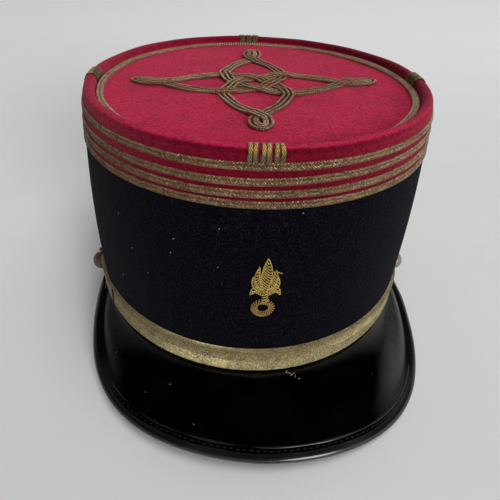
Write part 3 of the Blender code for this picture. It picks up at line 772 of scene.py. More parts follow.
def rolled_leather():
    """Black leather folded and polished by handling; where the tone is 1 it has no gloss."""
    paint, tree, shader = new_paint("rolled leather", Specular_IOR_Level=0.15, Coat_Roughness=0.08)
    place = object_place(tree)
    dust = use(tree, DUST, Place=place, Speck_Size=0.006)
    grain = add(tree, "TexVoronoi", place, Scale=1.0 / 0.0009).outputs["Distance"]
    rub = ramp(tree, dust["Haze"], 0.45, 0.75)
    colour = blend(tree, rub, (0.0060, 0.0060, 0.0070), (0.016, 0.016, 0.018))
    colour = blend(tree, times(tree, dust["Specks"], 0.15), colour, (0.5, 0.5, 0.5))
    fill(tree, shader, Base_Color=colour, Roughness=ramp(tree, rub, 0.0, 1.0, 0.34, 0.52),
         Coat_Weight=ramp(tree, tone_of(tree), 0.0, 1.0, 0.75, 0.0))
    bumped(tree, shader, grain, distance=0.00020, strength=0.35)
    return paint


def old_brass():
    """Brown, tarnished brass; where the tone is 1 it is painted pale grey, a painted reflection."""
    paint, tree, shader = new_paint("old brass", Metallic=0.35)
    patch = noise(tree, object_place(tree), size=0.0016, detail=3.0, rough=0.6)
    colour = blend(tree, ramp(tree, patch, 0.35, 0.7), (0.150, 0.078, 0.052), (0.075, 0.042, 0.030))
    # Pale grey where the tone is 1: a painted reflection.
    fill(tree, shader, Base_Color=blend(tree, tone_of(tree), colour, (0.360, 0.340, 0.300)),
         Roughness=ramp(tree, patch, 0.3, 0.7, 0.34, 0.55))
    bumped(tree, shader, patch, distance=0.0002, strength=0.3)
    return paint


def thread_paint(name, colour, dark):
    """Dull thread, mottled between two colours."""
    paint, tree, shader = new_paint(name, Roughness=0.85, Specular_IOR_Level=0.25)
    patch = noise(tree, object_place(tree), size=0.0008, detail=2.0, rough=0.6)
    fill(tree, shader, Base_Color=blend(tree, patch, colour, dark))
    bumped(tree, shader, patch, distance=0.0002, strength=0.4)
    return paint


NAVY = wool("navy wool", cloth=(0.0005, 0.0004, 0.0022), pale=(0.024, 0.022, 0.036),
            deep=(0.0006, 0.0005, 0.0014), hairs=0.34, mottle=0.0018, sheen=0.027,
            tint=(0.75, 0.75, 0.88), gloss=0.05)
# The scarlet's shade is the painted shade laid on where the upper cloth's tone is 1.
SCARLET = wool("scarlet wool", cloth=(0.565, 0.0085, 0.0665), pale=(0.740, 0.105, 0.190),
               deep=(0.255, 0.0035, 0.0260), hairs=0.28, mottle=0.0014, sheen=0.10,
               tint=(1.0, 0.56, 0.63), gloss=0.10, shade=(0.22, 0.06, 0.14))
# In the gilt finishes, groove and edge set how much painted shade darkens the groove and the edges,
# and the glints are painted glints.
SOUTACHE = gilt("gilt soutache", gold=(0.440, 0.235, 0.090), painted_glint=(1.00, 0.92, 0.62),
                tarnish_and_shade=(0.050, 0.024, 0.011), share=0.30, strand=0.0010, groove=0.60, edge=0.45,
                metal=0.38)
KNOT_GILT = gilt("gilt knot cord", gold=(0.630, 0.355, 0.150), painted_glint=(1.00, 0.90, 0.58),
                 tarnish_and_shade=(0.120, 0.040, 0.022), share=0.25, strand=0.0011, half=0.00060, edge=0.80,
                 metal=0.35)
BAR_GILT = gilt("gilt bar cord", gold=(1.000, 0.600, 0.150), painted_glint=(1.00, 0.90, 0.50),
                tarnish_and_shade=(0.110, 0.045, 0.015), share=0.10, strand=0.0011, half=0.00084, edge=0.95,
                lean=0.0, metal=0.25)
LACE = gilt("gilt lace", gold=(0.650, 0.540, 0.240), painted_glint=(1.00, 0.96, 0.68),
            tarnish_and_shade=(0.170, 0.130, 0.055), share=0.40, strand=0.0008, dirt_and_shade=(0.185, 0.100, 0.052))
PURL = gilt("gilt purl", gold=(1.000, 0.800, 0.240), painted_glint=(1.00, 0.92, 0.50),
            tarnish_and_shade=(0.330, 0.140, 0.030), share=0.0, strand=0.0006, half=0.00025, lean=0.0,
            metal=0.70, dirt_and_shade=(0.300, 0.130, 0.035))
RING_GILT = gilt("gilt ring cord", gold=(0.780, 0.430, 0.240), painted_glint=(1.00, 0.88, 0.62),
                 tarnish_and_shade=(0.070, 0.026, 0.016), share=0.20, strand=0.0015, half=0.0017, groove=0.40,
                 edge=0.45, lean=0.25)
PATENT = patent_leather()
ROLLED = rolled_leather()
BRASS = old_brass()
DARK_THREAD = thread_paint("dark thread", (0.060, 0.036, 0.020), (0.020, 0.012, 0.008))
BLACK_THREAD = thread_paint("black waxed thread", (0.010, 0.010, 0.010), (0.003, 0.003, 0.003))
LINT = thread_paint("lint", (0.46, 0.44, 0.42), (0.30, 0.29, 0.28))


# ---------------------------------------------------------------- crown
def make_wall_cloth():
    """Navy wall: the wall surface from base to colour split, WALL thick, sagging by WALL_SAG times a
    ripple round it and half a sine up it. Its hem turns in under the base."""
    angle = ring_angles(WALL_STEPS)[:, None]
    rise = np.linspace(HEM, SPLIT, 30)
    outer = wall_point(angle, rise, WALL_SAG * ripple(angle, 0.7) * np.sin(math.pi * rise / SPLIT))
    hem = wall_point(angle, np.array([0.0, 0.001]), np.array([-0.0007, -0.0002]))
    inner = wall_point(angle, rise[::-3], -WALL)
    foot = wall_point(angle, np.array([0.0]), -WALL + 0.0004)
    grid = np.concatenate([hem, outer, inner, foot], 1)
    return piece("wall_cloth", [ring_of(grid)], NAVY, ["crown_wall"])


def make_upper_cloth():
    """Scarlet upper wall: wall surface, then a squarish roll over the rim, (1 - cos t, sin t) each to
    the power RIM_SQUARE, down its inner face to the recess, and back down inside. Its wall, inside
    and out, and the roll's outer side carry painted shade, darkest in front, and the roll's crest a
    painted shade that is deepest at the rear and the right."""
    angle = ring_angles(WALL_STEPS)[:, None]
    rows = 14
    outer = wall_point(angle, np.linspace(SPLIT, SHOULDER, rows), UPPER_SAG * ripple(angle, 2.1))
    arc = np.radians(np.arange(9.0, 181.0, 9.0))
    soft = RIM_SAG * ripple(angle, 5.0, (4, 9, 14))
    cos, sin = np.cos(arc), np.sin(arc)
    across = RIM_ROUND * (1 - np.sign(cos) * np.abs(cos) ** RIM_SQUARE)
    rim = top_point(angle, across, RIM_ROUND - (RIM_ROUND + soft) * np.abs(sin) ** RIM_SQUARE)
    inside = top_point(angle, 2 * RIM_ROUND + np.array([0.0001, 0.0002]),
                       np.array([0.0034, RECESS + 0.0002]))
    inner = wall_point(angle, np.array([1 - RECESS / HEIGHT_FRONT, 0.9, SPLIT]), -WALL)
    grid = np.concatenate([outer, rim, inside, inner], 1)
    # Painted shade on the wall and the roll's outer side, darkest in front.
    wall_shade = 0.45 + 0.55 * np.clip(np.cos(angle - FRONT), 0, 1) ** 2
    down = np.concatenate([np.linspace(1.0, 0.9, rows), fade(arc, 1.20, -0.60), np.ones(5)])
    # Painted shade along the roll's crest, deepest at the rear and the right.
    crest_shade = 0.62 + 0.25 * np.sin(angle) + 0.15 * np.cos(angle)
    crest_shade = crest_shade * fade(np.sin(angle), -1, 0.6)
    crest = np.concatenate([np.zeros(rows), fade(arc, 0.8, 0.6), np.zeros(5)])
    tone = np.maximum(wall_shade * down, crest_shade * crest)
    return piece("upper_cloth", [ring_of(grid, tone)], SCARLET, ["crown_upper_wall"])


def make_top_cloth():
    """Scarlet top disc: the sloping plane sunk by RECESS and TOP_DISC thick, from the middle out to
    the wall, quilted by a sine across times a sine along that dies away at the edge."""
    angle = ring_angles(DISC_STEPS)[None, :]
    share = np.linspace(0.02, 1.0, 40)[:, None]
    centre = np.array([0.0, TOP_SHIFT, top_height(0.0, TOP_SHIFT) - RECESS])
    spoke = top_point(angle, WALL + GAP, RECESS) - centre
    upper = centre + spoke * share[..., None]
    sag = DISC_SAG * (np.sin(upper[..., 0] * QUILT_ACROSS + 0.6)
                      * np.sin(upper[..., 1] * QUILT_ALONG + 1.1))
    upper[..., 2] += sag * (1 - share ** 4)
    lower = (centre + spoke * share[::-4][..., None]) - np.array([0, 0, TOP_DISC])
    grid = np.concatenate([upper, lower], 0)
    disc = shape(grid, np.linspace(0, 0.09, len(grid)), np.linspace(0, 0.5, DISC_STEPS + 1))
    return piece("top_cloth", [disc], SCARLET, ["crown_top"])


# ---------------------------------------------------------------- soutache and cords
def make_braid_row(name, row):
    """One soutache row round the wall. In front it climbs by rise_right along half a sine towards the
    right and comes back down at the side, and its height wanders as a ripple all round."""
    angle = ring_angles(BRAID_STEPS)
    front = angle > math.pi
    climb = 0.5 + 0.5 * np.sin(np.clip((angle - BRAID_CLIMB) * CLIMB_RATE, -1.57, 1.57))
    wander = row["rise_right"] * climb * front + BRAID_STRAY * ripple(angle, row["phase"])
    wander = np.where(front, wander * fade(angle, 2 * math.pi, -0.8), wander)
    rise = (row["low"] + BRAID_TALL / 2 + wander) / HEIGHT_FRONT
    path, up = raised(wall_point, angle, rise, 0.0)
    tone = np.clip(0.05 + 0.30 * ripple(angle, row["phase"] + 2, (7, 13, 29, 41)), 0, 0.6)[:, None]
    plait = soutache(path, up, BRAID_TALL / 2, BRAID_OUT, tone=tone, aside=-0.36)
    return piece(name + "_soutache", [plait], SOUTACHE, [name])


def make_ring_cord():
    """Soutache ring lying on the disc inside the rim; about RING_LOOSE it has come in, up and a
    little on edge, as a bell curve."""
    angle = ring_angles(RING_STEPS)
    loose = sum(bell(angle - RING_LOOSE - lap, RING_LOOSE_WIDE) for lap in (0.0, 2 * math.pi))
    inset = RING_INSET + 0.0010 * loose + RING_STRAY * ripple(angle, 0.9, (5, 9, 16))
    drop = RECESS - 0.0003 - 0.0003 * loose - RING_WAVE * (1 + ripple(angle, 3.3, (6, 11)))
    path = top_point(angle, inset, drop)
    up = unit(TOP_UP - oval_normal(angle, 1.0) * 0.35 * loose[:, None])
    plait = soutache(path, up, RING_HALF, RING_TALL, pitch=0.0015, around=16, groove=0.35)
    return piece("ring_cord", [plait], RING_GILT, ["crown_cord"])


def bar_route(angle, lift):
    """Route of one cord over the rim: up the wall, half a circle of RIM_ROUND + lift, and down."""
    up_wall = wall_point(angle, np.linspace(BAR_FOOT / HEIGHT_FRONT, SHOULDER, 5), lift)
    arc = np.radians(np.arange(12.0, 181.0, 12.0))
    bend = RIM_ROUND + lift
    over = top_point(angle, RIM_ROUND - bend * np.cos(arc), RIM_ROUND - bend * np.sin(arc))
    down = top_point(angle, np.full(2, 2 * RIM_ROUND + lift), np.array([0.0030, 0.0038]))
    return np.vstack([up_wall, over, down])


def make_bar(side, number):
    """A pair of flattened twisted cords over the rim, which sway a little sideways as a sine, with
    painted shade that leaves them bright about BAR_CREST of the way along and dark at the feet."""
    middle = math.radians(BAR_SIDES[side])
    pace = math.hypot(TOP_HALF_WIDTH * math.sin(middle), TOP_HALF_LENGTH * math.cos(middle))
    shapes = []
    for half in (-0.5, 0.5):
        angle = middle + ((number - 2) * BAR_PITCH + half * 2 * BAR_CORD) / pace
        lift = BAR_CORD * BAR_SQUASH * (0.95 + 0.10 * rng.random())
        path = resample(bar_route(angle, lift), BAR_STEP)
        normal = oval_normal(angle, 1.0)
        sideways = np.array([-normal[1], normal[0], 0.0])
        run = lengths(path)
        path = path + sideways * (BAR_STRAY * np.sin(run * 700 + rng.random() * 6))[:, None]
        outward = np.cross(directions(path), sideways)
        outward *= np.sign(outward[len(path) // 2, 2])
        # Painted shade: worn is 0 at the crest and rises towards the feet; the random term below adds
        # random unevenness.
        worn = 1 - bell(run / run[-1] - BAR_CREST, 0.17)
        tone = 0.80 * worn ** 1.3 + 0.22 * rng.random() * np.sin(run * 1300 + number) ** 2
        shapes.append(twisted(path, outward, BAR_CORD, tone=np.clip(tone, 0, 0.8)[:, None],
                              around=14, squash=BAR_SQUASH))
    name = f"bar_{side}_{number}"
    return piece(name + "_cords", shapes, BAR_GILT, [name])


# ---------------------------------------------------------------- cord knot
def knot_arm(arm):
    """Middle cord of one arm in the plan: out along its left side, round the looped end and back
    along its right side, slipped sideways in straight steps, then turned to the arm's direction."""
    node, top = arm["node"], arm["tip"] - arm["pitch"] - CORD_HALF
    side = [(row["across"], row["along"]) for row in KNOT_BELLY]
    side += [(row["across"], row["share"] * node) for row in KNOT_NECK]
    side += [(row["across"], node + row["share"] * (top - node)) for row in KNOT_LOOP]
    points = np.array([(-across, along) for across, along in side] + [(0.0, top)] + side[:0:-1])
    points[:, 0] += np.interp(points[:, 1], [KNOT_CORNER, node, arm["tip"]], [0.0, *arm["slip"]])
    spin = math.radians(arm["turn"] - 90.0)
    return points @ np.array([[math.cos(spin), math.sin(spin)], [-math.sin(spin), math.cos(spin)]])


def crossings(curve):
    """Places (index, later index) where a closed curve crosses itself: where the shares s and t of
    two of its steps, at which their lines meet, both lie from 0 to 1."""
    ahead = np.roll(curve, -1, 0) - curve
    ab, cd = ahead[:, None], ahead[None]
    ac = curve[None] - curve[:, None]
    bottom = ab[..., 0] * cd[..., 1] - ab[..., 1] * cd[..., 0]
    parallel = 1e-14
    bottom = np.where(np.abs(bottom) < parallel, parallel, bottom)
    s = (ac[..., 0] * cd[..., 1] - ac[..., 1] * cd[..., 0]) / bottom
    t = (ac[..., 0] * ab[..., 1] - ac[..., 1] * ab[..., 0]) / bottom
    found = np.argwhere((s >= 0) & (s < 1) & (t >= 0) & (t < 1))
    return [(int(i), int(j)) for i, j in found if 1 < j - i < len(curve) - 1]


def weave_height(curve):
    """Over and under along the curve, 0 to 1: the bell curves, WEAVE_REACH wide, at every other
    crossing, divided by those at all crossings or by WEAVE_REST where they are less."""
    met = sorted(place for pair in crossings(curve) for place in pair)
    run = np.arange(len(curve))
    level, weight = np.zeros(len(curve)), np.full(len(curve), WEAVE_REST)
    for number, place in enumerate(met):
        gap = np.abs(run - place)
        near = bell(np.minimum(gap, len(curve) - gap) * CORD_STEP, WEAVE_REACH)
        level += near * (number % 2)
        weight = np.maximum(weight, near) + np.minimum(weight, near) * (weight > WEAVE_REST)
    return level / weight


def knot_spread(curve):
    """Pitch of the three cords along the knot, smoothed from arm to arm and widest in the middle, and
    how far each point is into an arm's looped end, 0 to 1."""
    far = np.hypot(curve[:, 0], curve[:, 1])
    turn = np.degrees(np.arctan2(curve[:, 1], curve[:, 0]))
    pitch, loop = np.zeros(len(curve)), np.zeros(len(curve))
    for arm in KNOT_ARMS.values():
        near = np.abs((turn - arm["turn"] + 180) % 360 - 180) <= 45
        pitch[near] = arm["pitch"]
        start = arm["node"] * 1.04
        loop[near] = np.clip((far - start) / (arm["tip"] - start) * 4, 0, 1)[near]
    soft = bell(np.arange(-20, 21), 9.0)
    pitch = np.convolve(np.tile(pitch, 3), soft / soft.sum(), "same")[len(curve):2 * len(curve)]
    return pitch + MIDDLE_SPREAD * bell(far, MIDDLE_WIDE), loop


def make_knot():
    """One closed knot of three cords side by side: it runs round the arms in turn, loops at each
    end, and is woven over and under in the middle. Its inner cord lies closer in the loops."""
    corners = np.vstack([knot_arm(arm) for arm in KNOT_ARMS.values()])
    curve = resample(smooth_curve(corners, ring=True), CORD_STEP, ring=True)
    height = weave_height(curve)
    pitch, loop = knot_spread(curve)
    way = directions(curve, ring=True)
    right = np.stack([way[:, 1], -way[:, 0]], -1)
    upright = TOP_UP / np.linalg.norm(TOP_UP)
    shapes = []
    for lane in (-1, 0, 1):
        offset = lane * pitch * (1 - LOOP_SQUEEZE * loop * (lane < 0))
        plan = curve + right * offset[:, None] + KNOT_CENTRE
        rise = CORD_TALL * 0.45 + KNOT_LIFT * height + LOOP_LIFT * loop * (1 - 0.4 * lane)
        rise = rise + KNOT_WAVE * np.sin(np.arange(len(rise)) * 0.13 + lane * 2)
        level = top_height(plan[:, 0], plan[:, 1]) - RECESS
        path = np.column_stack([plan, level]) + upright * rise[:, None]
        shapes.append(soutache(path, np.broadcast_to(upright, path.shape), CORD_HALF, CORD_TALL,
                               pitch=0.0011, tone=0.06 + 0.05 * lane, around=12, back=0.6,
                               groove=0.20))
    return piece("knot_cords", shapes, KNOT_GILT, ["crown_knot"])


# ---------------------------------------------------------------- strap, buttons
# Dark spots on the strap: degrees from the front, height and size.
STRAP_SPOTS = [
    {"angle": -33.2, "height": 0.0065, "size": 0.0016},
    {"angle": -22.8, "height": 0.0047, "size": 0.0013},
    {"angle": -20.5, "height": 0.0040, "size": 0.0012},
    {"angle": -7.5, "height": 0.0067, "size": 0.0017},
    {"angle": -5.0, "height": 0.0060, "size": 0.0012},
    {"angle": 6.2, "height": 0.0067, "size": 0.0014},
    {"angle": 12.0, "height": 0.0070, "size": 0.0010},
]


def strap_stain_and_shadow(turn, height, v):
    """Stain and painted shadow on the strap's face, at turns from the front and shares v from its
    middle
    up and down: stains in its spots and its upper half, a darker line under the upper border, a
    darker left end, and a painted shadow over the right end."""
    stain = np.zeros(height.shape)
    for spot in STRAP_SPOTS:
        far = np.hypot((turn[:, None] - math.radians(spot["angle"])) * BASE_HALF_LENGTH,
                       (height - spot["height"]) * 1.6)
        stain += 0.75 * bell(far, spot["size"])
    stain += 0.42 * fade(v, 0.05, 0.70)
    stain += 0.30 * bell(v - 0.82, 0.05)
    # Painted shadow over the right end.
    stain += 0.55 * fade(turn, math.radians(56), 0.14)[:, None]
    stain += 0.42 * fade(-turn, math.radians(32), 0.60)[:, None]
    return np.clip(stain, 0, 0.95)


def make_strap():
    """Lace band from button to button, with ends as arcs of STRAP_ROUND. It narrows towards the left
    button, past the keeper, and sinks a little at the right one. Its face stands out as a cushion,
    0.72 + 0.28 sqrt(1 - v^8) of its thickness, with slanting ribs, a corded border at each edge and
    a slight dip along its upper half."""
    left, right = (math.radians(angle) for angle in BUTTON_ANGLES.values())
    centre, ends = (right + left) / 2, (right - left) / 2
    share = np.cos(math.pi * np.linspace(0, 1, 40))
    share = np.unique(np.concatenate([share[share < -0.93], np.linspace(-0.93, 0.93, STRAP_STEPS),
                                      share[share > 0.93]]))
    angle = centre + ends * share + FRONT
    turn = angle - FRONT
    from_end = ends * (1 - np.abs(share)) * BASE_HALF_LENGTH + STRAP_PAST
    fill_up = np.minimum(1.0, from_end / STRAP_ROUND)
    half = STRAP_TALL / 2 * np.sqrt(1 - (1 - fill_up) ** 2)
    half = half * (1 - STRAP_NARROW * fade(angle, FRONT - math.radians(KEEPER_ANGLE), -0.05))
    sunk = STRAP_TALL / 2 * STRAP_SINK * fade(turn, SINK_TURN, SINK_SPAN) ** 1.5
    half = np.minimum(half, STRAP_TALL / 2 - sunk)
    v = np.linspace(-1, 1, 45)
    height = STRAP_LOW + STRAP_TALL / 2 - sunk[:, None] + half[:, None] * v
    border = bell(np.abs(v) - 0.90, 0.055)
    cushion = 0.72 + 0.28 * np.sqrt(np.clip(1 - v ** 8, 0, 1))
    run = turn * BASE_HALF_LENGTH
    ribs = np.sin(run[:, None] * 2 * math.pi / STRAP_RIB + 2.2 * np.abs(v)) * (np.abs(v) < 0.8)
    dip = STRAP_DIP * np.sin(run[:, None] * 90 + 0.4) * (v > 0)
    out = GAP + STRAP_THICK * (cushion + 0.22 * border) + STRAP_RELIEF * ribs + dip
    inner = wall_at(angle[:, None], height[:, ::-4], 0.0)
    grid = np.concatenate([wall_at(angle[:, None], height, out), inner], 1)
    tone = np.zeros(grid.shape[:2])
    tone[:, :len(v)] = strap_stain_and_shadow(turn, height, v)
    across = lengths(grid[len(grid) // 2], ring=True)
    band = shape(grid, run, across - across[len(v) // 2], tone=tone)
    return piece("strap_lace", [band], LACE, ["strap"])


def make_keeper():
    """Dark fold across the strap: a flat oval in section, half sunk in the strap, which leans towards
    the front as it rises."""
    middle = FRONT - math.radians(KEEPER_ANGLE)
    swing = KEEPER_WIDE / 2 / BASE_HALF_WIDTH
    turn = ring_angles(14)
    height = np.linspace(STRAP_LOW + 0.0006, STRAP_LOW + STRAP_TALL - 0.0002, 24)[:, None]
    rise = (height - STRAP_LOW) / STRAP_TALL
    angle = middle + swing * np.cos(turn) + KEEPER_LEAN * rise
    out = GAP + STRAP_THICK + 0.00012 + 0.00038 * np.sin(turn) + 0 * height
    grid = wall_at(angle, height + 0 * angle, out)
    ridge = shape(grid, height[:, 0], np.linspace(0, 0.004, 15))
    return piece("keeper_fold", [ridge], DARK_THREAD, ["strap_keeper"])


def wall_stud(name, node, angle, height, out, form, paint, tone=0.0):
    """A stud on the wall: a quarter ellipse, radius sin(t) across and edge + dome cos(t) high, over
    a foot given as (share of the radius, height)."""
    away = oval_normal(np.asarray(angle, float), 0.0)
    away[2] = (BASE_HALF_WIDTH - TOP_HALF_WIDTH) / HEIGHT_FRONT
    first, last, rows = form["dome_turns"]
    turn = np.radians(np.linspace(first, last, rows))
    profile = [(form["radius"] * math.sin(t), form["edge"] + form["dome"] * math.cos(t))
               for t in turn]
    profile += [(form["radius"] * share, level) for share, level in form["foot"]]
    stud = turned(profile, form["steps"], wall_at(angle, height, out), away, tone)
    return piece(name, [stud], paint, [node])


def make_button(name):
    """Domed button on a rolled edge; the right one carries a painted reflection, pale grey."""
    angle = FRONT + math.radians(BUTTON_ANGLES[name])
    # The right button's pale grey is a painted reflection.
    painted_reflection = 0.5 if name == "button_right" else 0.0
    return wall_stud(name + "_dome", name, angle, BUTTON_HEIGHT, STRAP_THICK + 2 * GAP, BUTTON, BRASS,
                     painted_reflection)


def make_eyelet():
    """Small dark stud above the left button."""
    angle = FRONT - math.radians(EYELET_ANGLE)
    return wall_stud("eyelet_stud", "eyelet_left", angle, EYELET_HEIGHT, 0.0, EYELET, DARK_THREAD)


# ---------------------------------------------------------------- badge
# Tongues of the spray as centre lines from root to tip, in metres from the badge's foot; half is the
# greatest half width, pad the height of the padding under the threads, and slant the side to which
# the threads lean.
TONGUES = {
    "left_droop": {"points": [(0.0002, 0.0100), (-0.0018, 0.0119), (-0.0036, 0.0122),
                              (-0.0052, 0.0100)], "half": 0.0011, "pad": 0.0006, "slant": -1},
    "right_droop": {"points": [(0.0010, 0.0100), (0.0030, 0.0119), (0.0050, 0.0122),
                               (0.0064, 0.0100)], "half": 0.0011, "pad": 0.0006, "slant": 1},
    "left_low": {"points": [(-0.0012, 0.0118), (-0.0030, 0.0134), (-0.0039, 0.0154),
                            (-0.0043, 0.0182)], "half": 0.0008, "pad": 0.0006, "slant": -1},
    "right_low": {"points": [(0.0022, 0.0118), (0.0042, 0.0134), (0.0051, 0.0152),
                             (0.0054, 0.0178)], "half": 0.0008, "pad": 0.0006, "slant": 1},
    "left_side": {"points": [(-0.0006, 0.0124), (-0.0020, 0.0150), (-0.0027, 0.0184),
                             (-0.0021, 0.0224)], "half": 0.0010, "pad": 0.0009, "slant": -1},
    "right_side": {"points": [(0.0018, 0.0124), (0.0034, 0.0150), (0.0041, 0.0180),
                              (0.0042, 0.0212)], "half": 0.0010, "pad": 0.0009, "slant": 1},
    "middle": {"points": [(0.0006, 0.0120), (0.0004, 0.0155), (0.0009, 0.0205), (0.0010, 0.0264)],
               "half": 0.0019, "pad": 0.0014, "slant": 1},
}
THREAD = 0.00023
EDGE_THREAD = 0.00020
HOOP_THREAD = 0.00026
LOOSE_THREAD = 0.00022
THREAD_PITCH = 0.00108
THREAD_SLANT = 0.75
THREAD_FOOT = 0.0004
# Places along one thread, from edge to edge.
THREAD_LINE = np.linspace(-1, 1, 9)
# The badge's ring, under the spray: its middle line's half width, half height and middle, and its
# threads.
HOOP_ACROSS = 0.00345
HOOP_UP = 0.00296
HOOP_MIDDLE = 0.00405
HOOP_WRAPS = 22
HOOP_WRAP_HALF = 0.00112
HOOP_SPIN = 0.26
HOOP_PAD = 0.0010
HOOP_TONE = 0.45
# The threads across the tongues' roots: lowest, highest and narrowest, with their padding.
ROOTS_LOW = 0.0074
ROOTS_HIGH = 0.0116
ROOTS_WAIST = 0.0090
ROOTS_PAD = 0.0008


def badge_spot(x, y, out):
    """Point of the badge on the curved front wall."""
    angle = FRONT + (BADGE_ACROSS + np.asarray(x)) / BASE_HALF_WIDTH
    return wall_at(angle, BADGE_FOOT + np.asarray(y), out)


def laid_thread(x, y, out, radius=THREAD, tone=0.0):
    """A single purl thread through flat points, each out from the wall."""
    path, up = raised(badge_spot, x, y, out)
    return twisted(path, up, radius, around=8, strands=1, lay=0.0006, tone=tone)


def make_tongue(tongue):
    """Slanting purl threads over a padded tongue, and a twisted edge round it. The tongue's half
    width goes as sin^0.8 of its length and its padding as sqrt(1 - t^2) of its width."""
    line = resample(smooth_curve(tongue["points"]), 0.0001)
    run = lengths(line)
    way = directions(line)
    normal = np.stack([-way[:, 1], way[:, 0]], -1)
    taper = np.sin(math.pi * np.clip(run / run[-1] * 0.90 + 0.12, 0, 1)) ** 0.8
    half = tongue["half"] * taper
    threads = []
    for place in np.arange(THREAD_PITCH * 0.7, run[-1], THREAD_PITCH):
        k = int(np.searchsorted(run, place))
        slope = way[k] * tongue["slant"] * THREAD_SLANT
        flat = line[k] + np.outer(THREAD_LINE * half[k], normal[k] + slope)
        domed = np.sqrt(np.clip(1 - THREAD_LINE ** 2, 0, 1)) * min(1, half[k] / 0.0009)
        threads.append(laid_thread(flat[:, 0], flat[:, 1], THREAD_FOOT + tongue["pad"] * domed))
    for edge in (-1, 1):
        rim = (line + normal * (half * edge * 1.08)[:, None])[::3]
        threads.append(laid_thread(rim[:, 0], rim[:, 1], np.full(len(rim), 0.0006), EDGE_THREAD))
    return threads


def make_badge():
    """Gold wire spray over a ring: purl threads laid over padding in the tongues, across their roots
    and round the ring, whose middle line is an oval, and one loose thread."""
    shapes = []
    for tongue in TONGUES.values():
        shapes += make_tongue(tongue)
    t = THREAD_LINE
    domed = np.sqrt(1 - 0.98 * t ** 2)
    for low in np.arange(ROOTS_LOW, ROOTS_HIGH, THREAD_PITCH):
        wide = 0.0010 + 0.25 * abs(low - ROOTS_WAIST)
        shapes.append(laid_thread(0.0006 + wide * t, low + 0.0006 * t, 0.0006 + ROOTS_PAD * domed))
    wrap = HOOP_WRAP_HALF * t
    for turn in ring_angles(HOOP_WRAPS):
        spin = turn + HOOP_SPIN * t
        shapes.append(laid_thread((HOOP_ACROSS + wrap) * np.sin(spin),
                                  HOOP_MIDDLE + (HOOP_UP + wrap) * np.cos(spin),
                                  THREAD_FOOT + HOOP_PAD * domed, HOOP_THREAD, HOOP_TONE))
    loose = smooth_curve([(0.0024, 0.0206), (0.0042, 0.0210), (0.0062, 0.0206)])
    lifted = np.linspace(0.0010, 0.0020, len(loose))
    shapes.append(laid_thread(loose[:, 0], loose[:, 1], lifted, LOOSE_THREAD))
    return piece("badge_purl", shapes, PURL, ["badge"])


# ---------------------------------------------------------------- visor
def visor_outline(turn):
    """Distance from the cap's centre to the visor's rim: a skewed superellipse, by bisection, which
    past VISOR_TAPER_TURN draws in to the wall by VISOR_TAPER of its width."""
    near, far = np.full_like(turn, VISOR_NEAREST), np.full_like(turn, VISOR_FARTHEST)
    for _ in range(40):
        reach = (near + far) / 2
        middle = VISOR_OFFSET + VISOR_SKEW * reach * np.cos(turn)
        side = (np.abs(reach * np.sin(turn) - middle) / VISOR_HALF_WIDTH) ** VISOR_SIDE_POWER
        inside = side + (reach * np.cos(turn) / VISOR_REACH) ** VISOR_FRONT_POWER < 1.0
        near, far = np.where(inside, reach, near), np.where(inside, far, reach)
    end = np.maximum(0.0, (np.abs(turn) - VISOR_TAPER_TURN) / (VISOR_WING - VISOR_TAPER_TURN))
    return near - (near - base_outline(turn)) * VISOR_TAPER * end ** 2


def base_outline(turn):
    """Distance from the cap's centre to the wall's base in the same direction: the positive root for
    an oval whose middle lies BASE_LEAN aside."""
    side, ahead = np.sin(turn) / BASE_HALF_WIDTH, np.cos(turn) / BASE_HALF_LENGTH
    lean = BASE_LEAN / BASE_HALF_WIDTH
    square = side * side + ahead * ahead
    return (side * lean + np.sqrt((side * lean) ** 2 + square * (1 - lean * lean))) / square


def visor_space(turn, reach, height):
    """Point of the visor's radial plane."""
    return np.stack(np.broadcast_arrays(reach * np.sin(turn), -reach * np.cos(turn), height), -1)


def edge_point(turn, inward, above):
    """Point measured from the rim: inward along the slope, above the blade's middle."""
    base, rim = base_outline(turn), visor_outline(turn)
    lift = above - VISOR_HALF_THICK
    reach = rim - inward * math.cos(VISOR_SLOPE) + lift * math.sin(VISOR_SLOPE)
    height = -VISOR_STEP - math.tan(VISOR_SLOPE) * (rim - base)
    return visor_space(turn, reach, height + inward * math.sin(VISOR_SLOPE)
                       + lift * math.cos(VISOR_SLOPE))


def blade_drop(x, whole):
    """Drop of the blade x out from the wall: slope VISOR_START at the wall, bending over
    VISOR_BEND to a steeper one, so that the whole drop is tan(VISOR_SLOPE) times the width."""
    ease = VISOR_BEND * (1 - np.exp(-x / VISOR_BEND))
    ease_whole = VISOR_BEND * (1 - np.exp(-whole / VISOR_BEND))
    steep = (math.tan(VISOR_SLOPE) * whole - VISOR_START * ease_whole) / (whole - ease_whole)
    return steep * (x - ease) + VISOR_START * ease


def blade_point(turn, x, above=0.0, back=0.0):
    """Point of the blade x out from the wall: above its upper face and back towards the wall."""
    base, rim = base_outline(turn), visor_outline(turn)
    return visor_space(turn, base + GAP + x - back,
                       -VISOR_STEP - blade_drop(x, rim - base - GAP) + above)


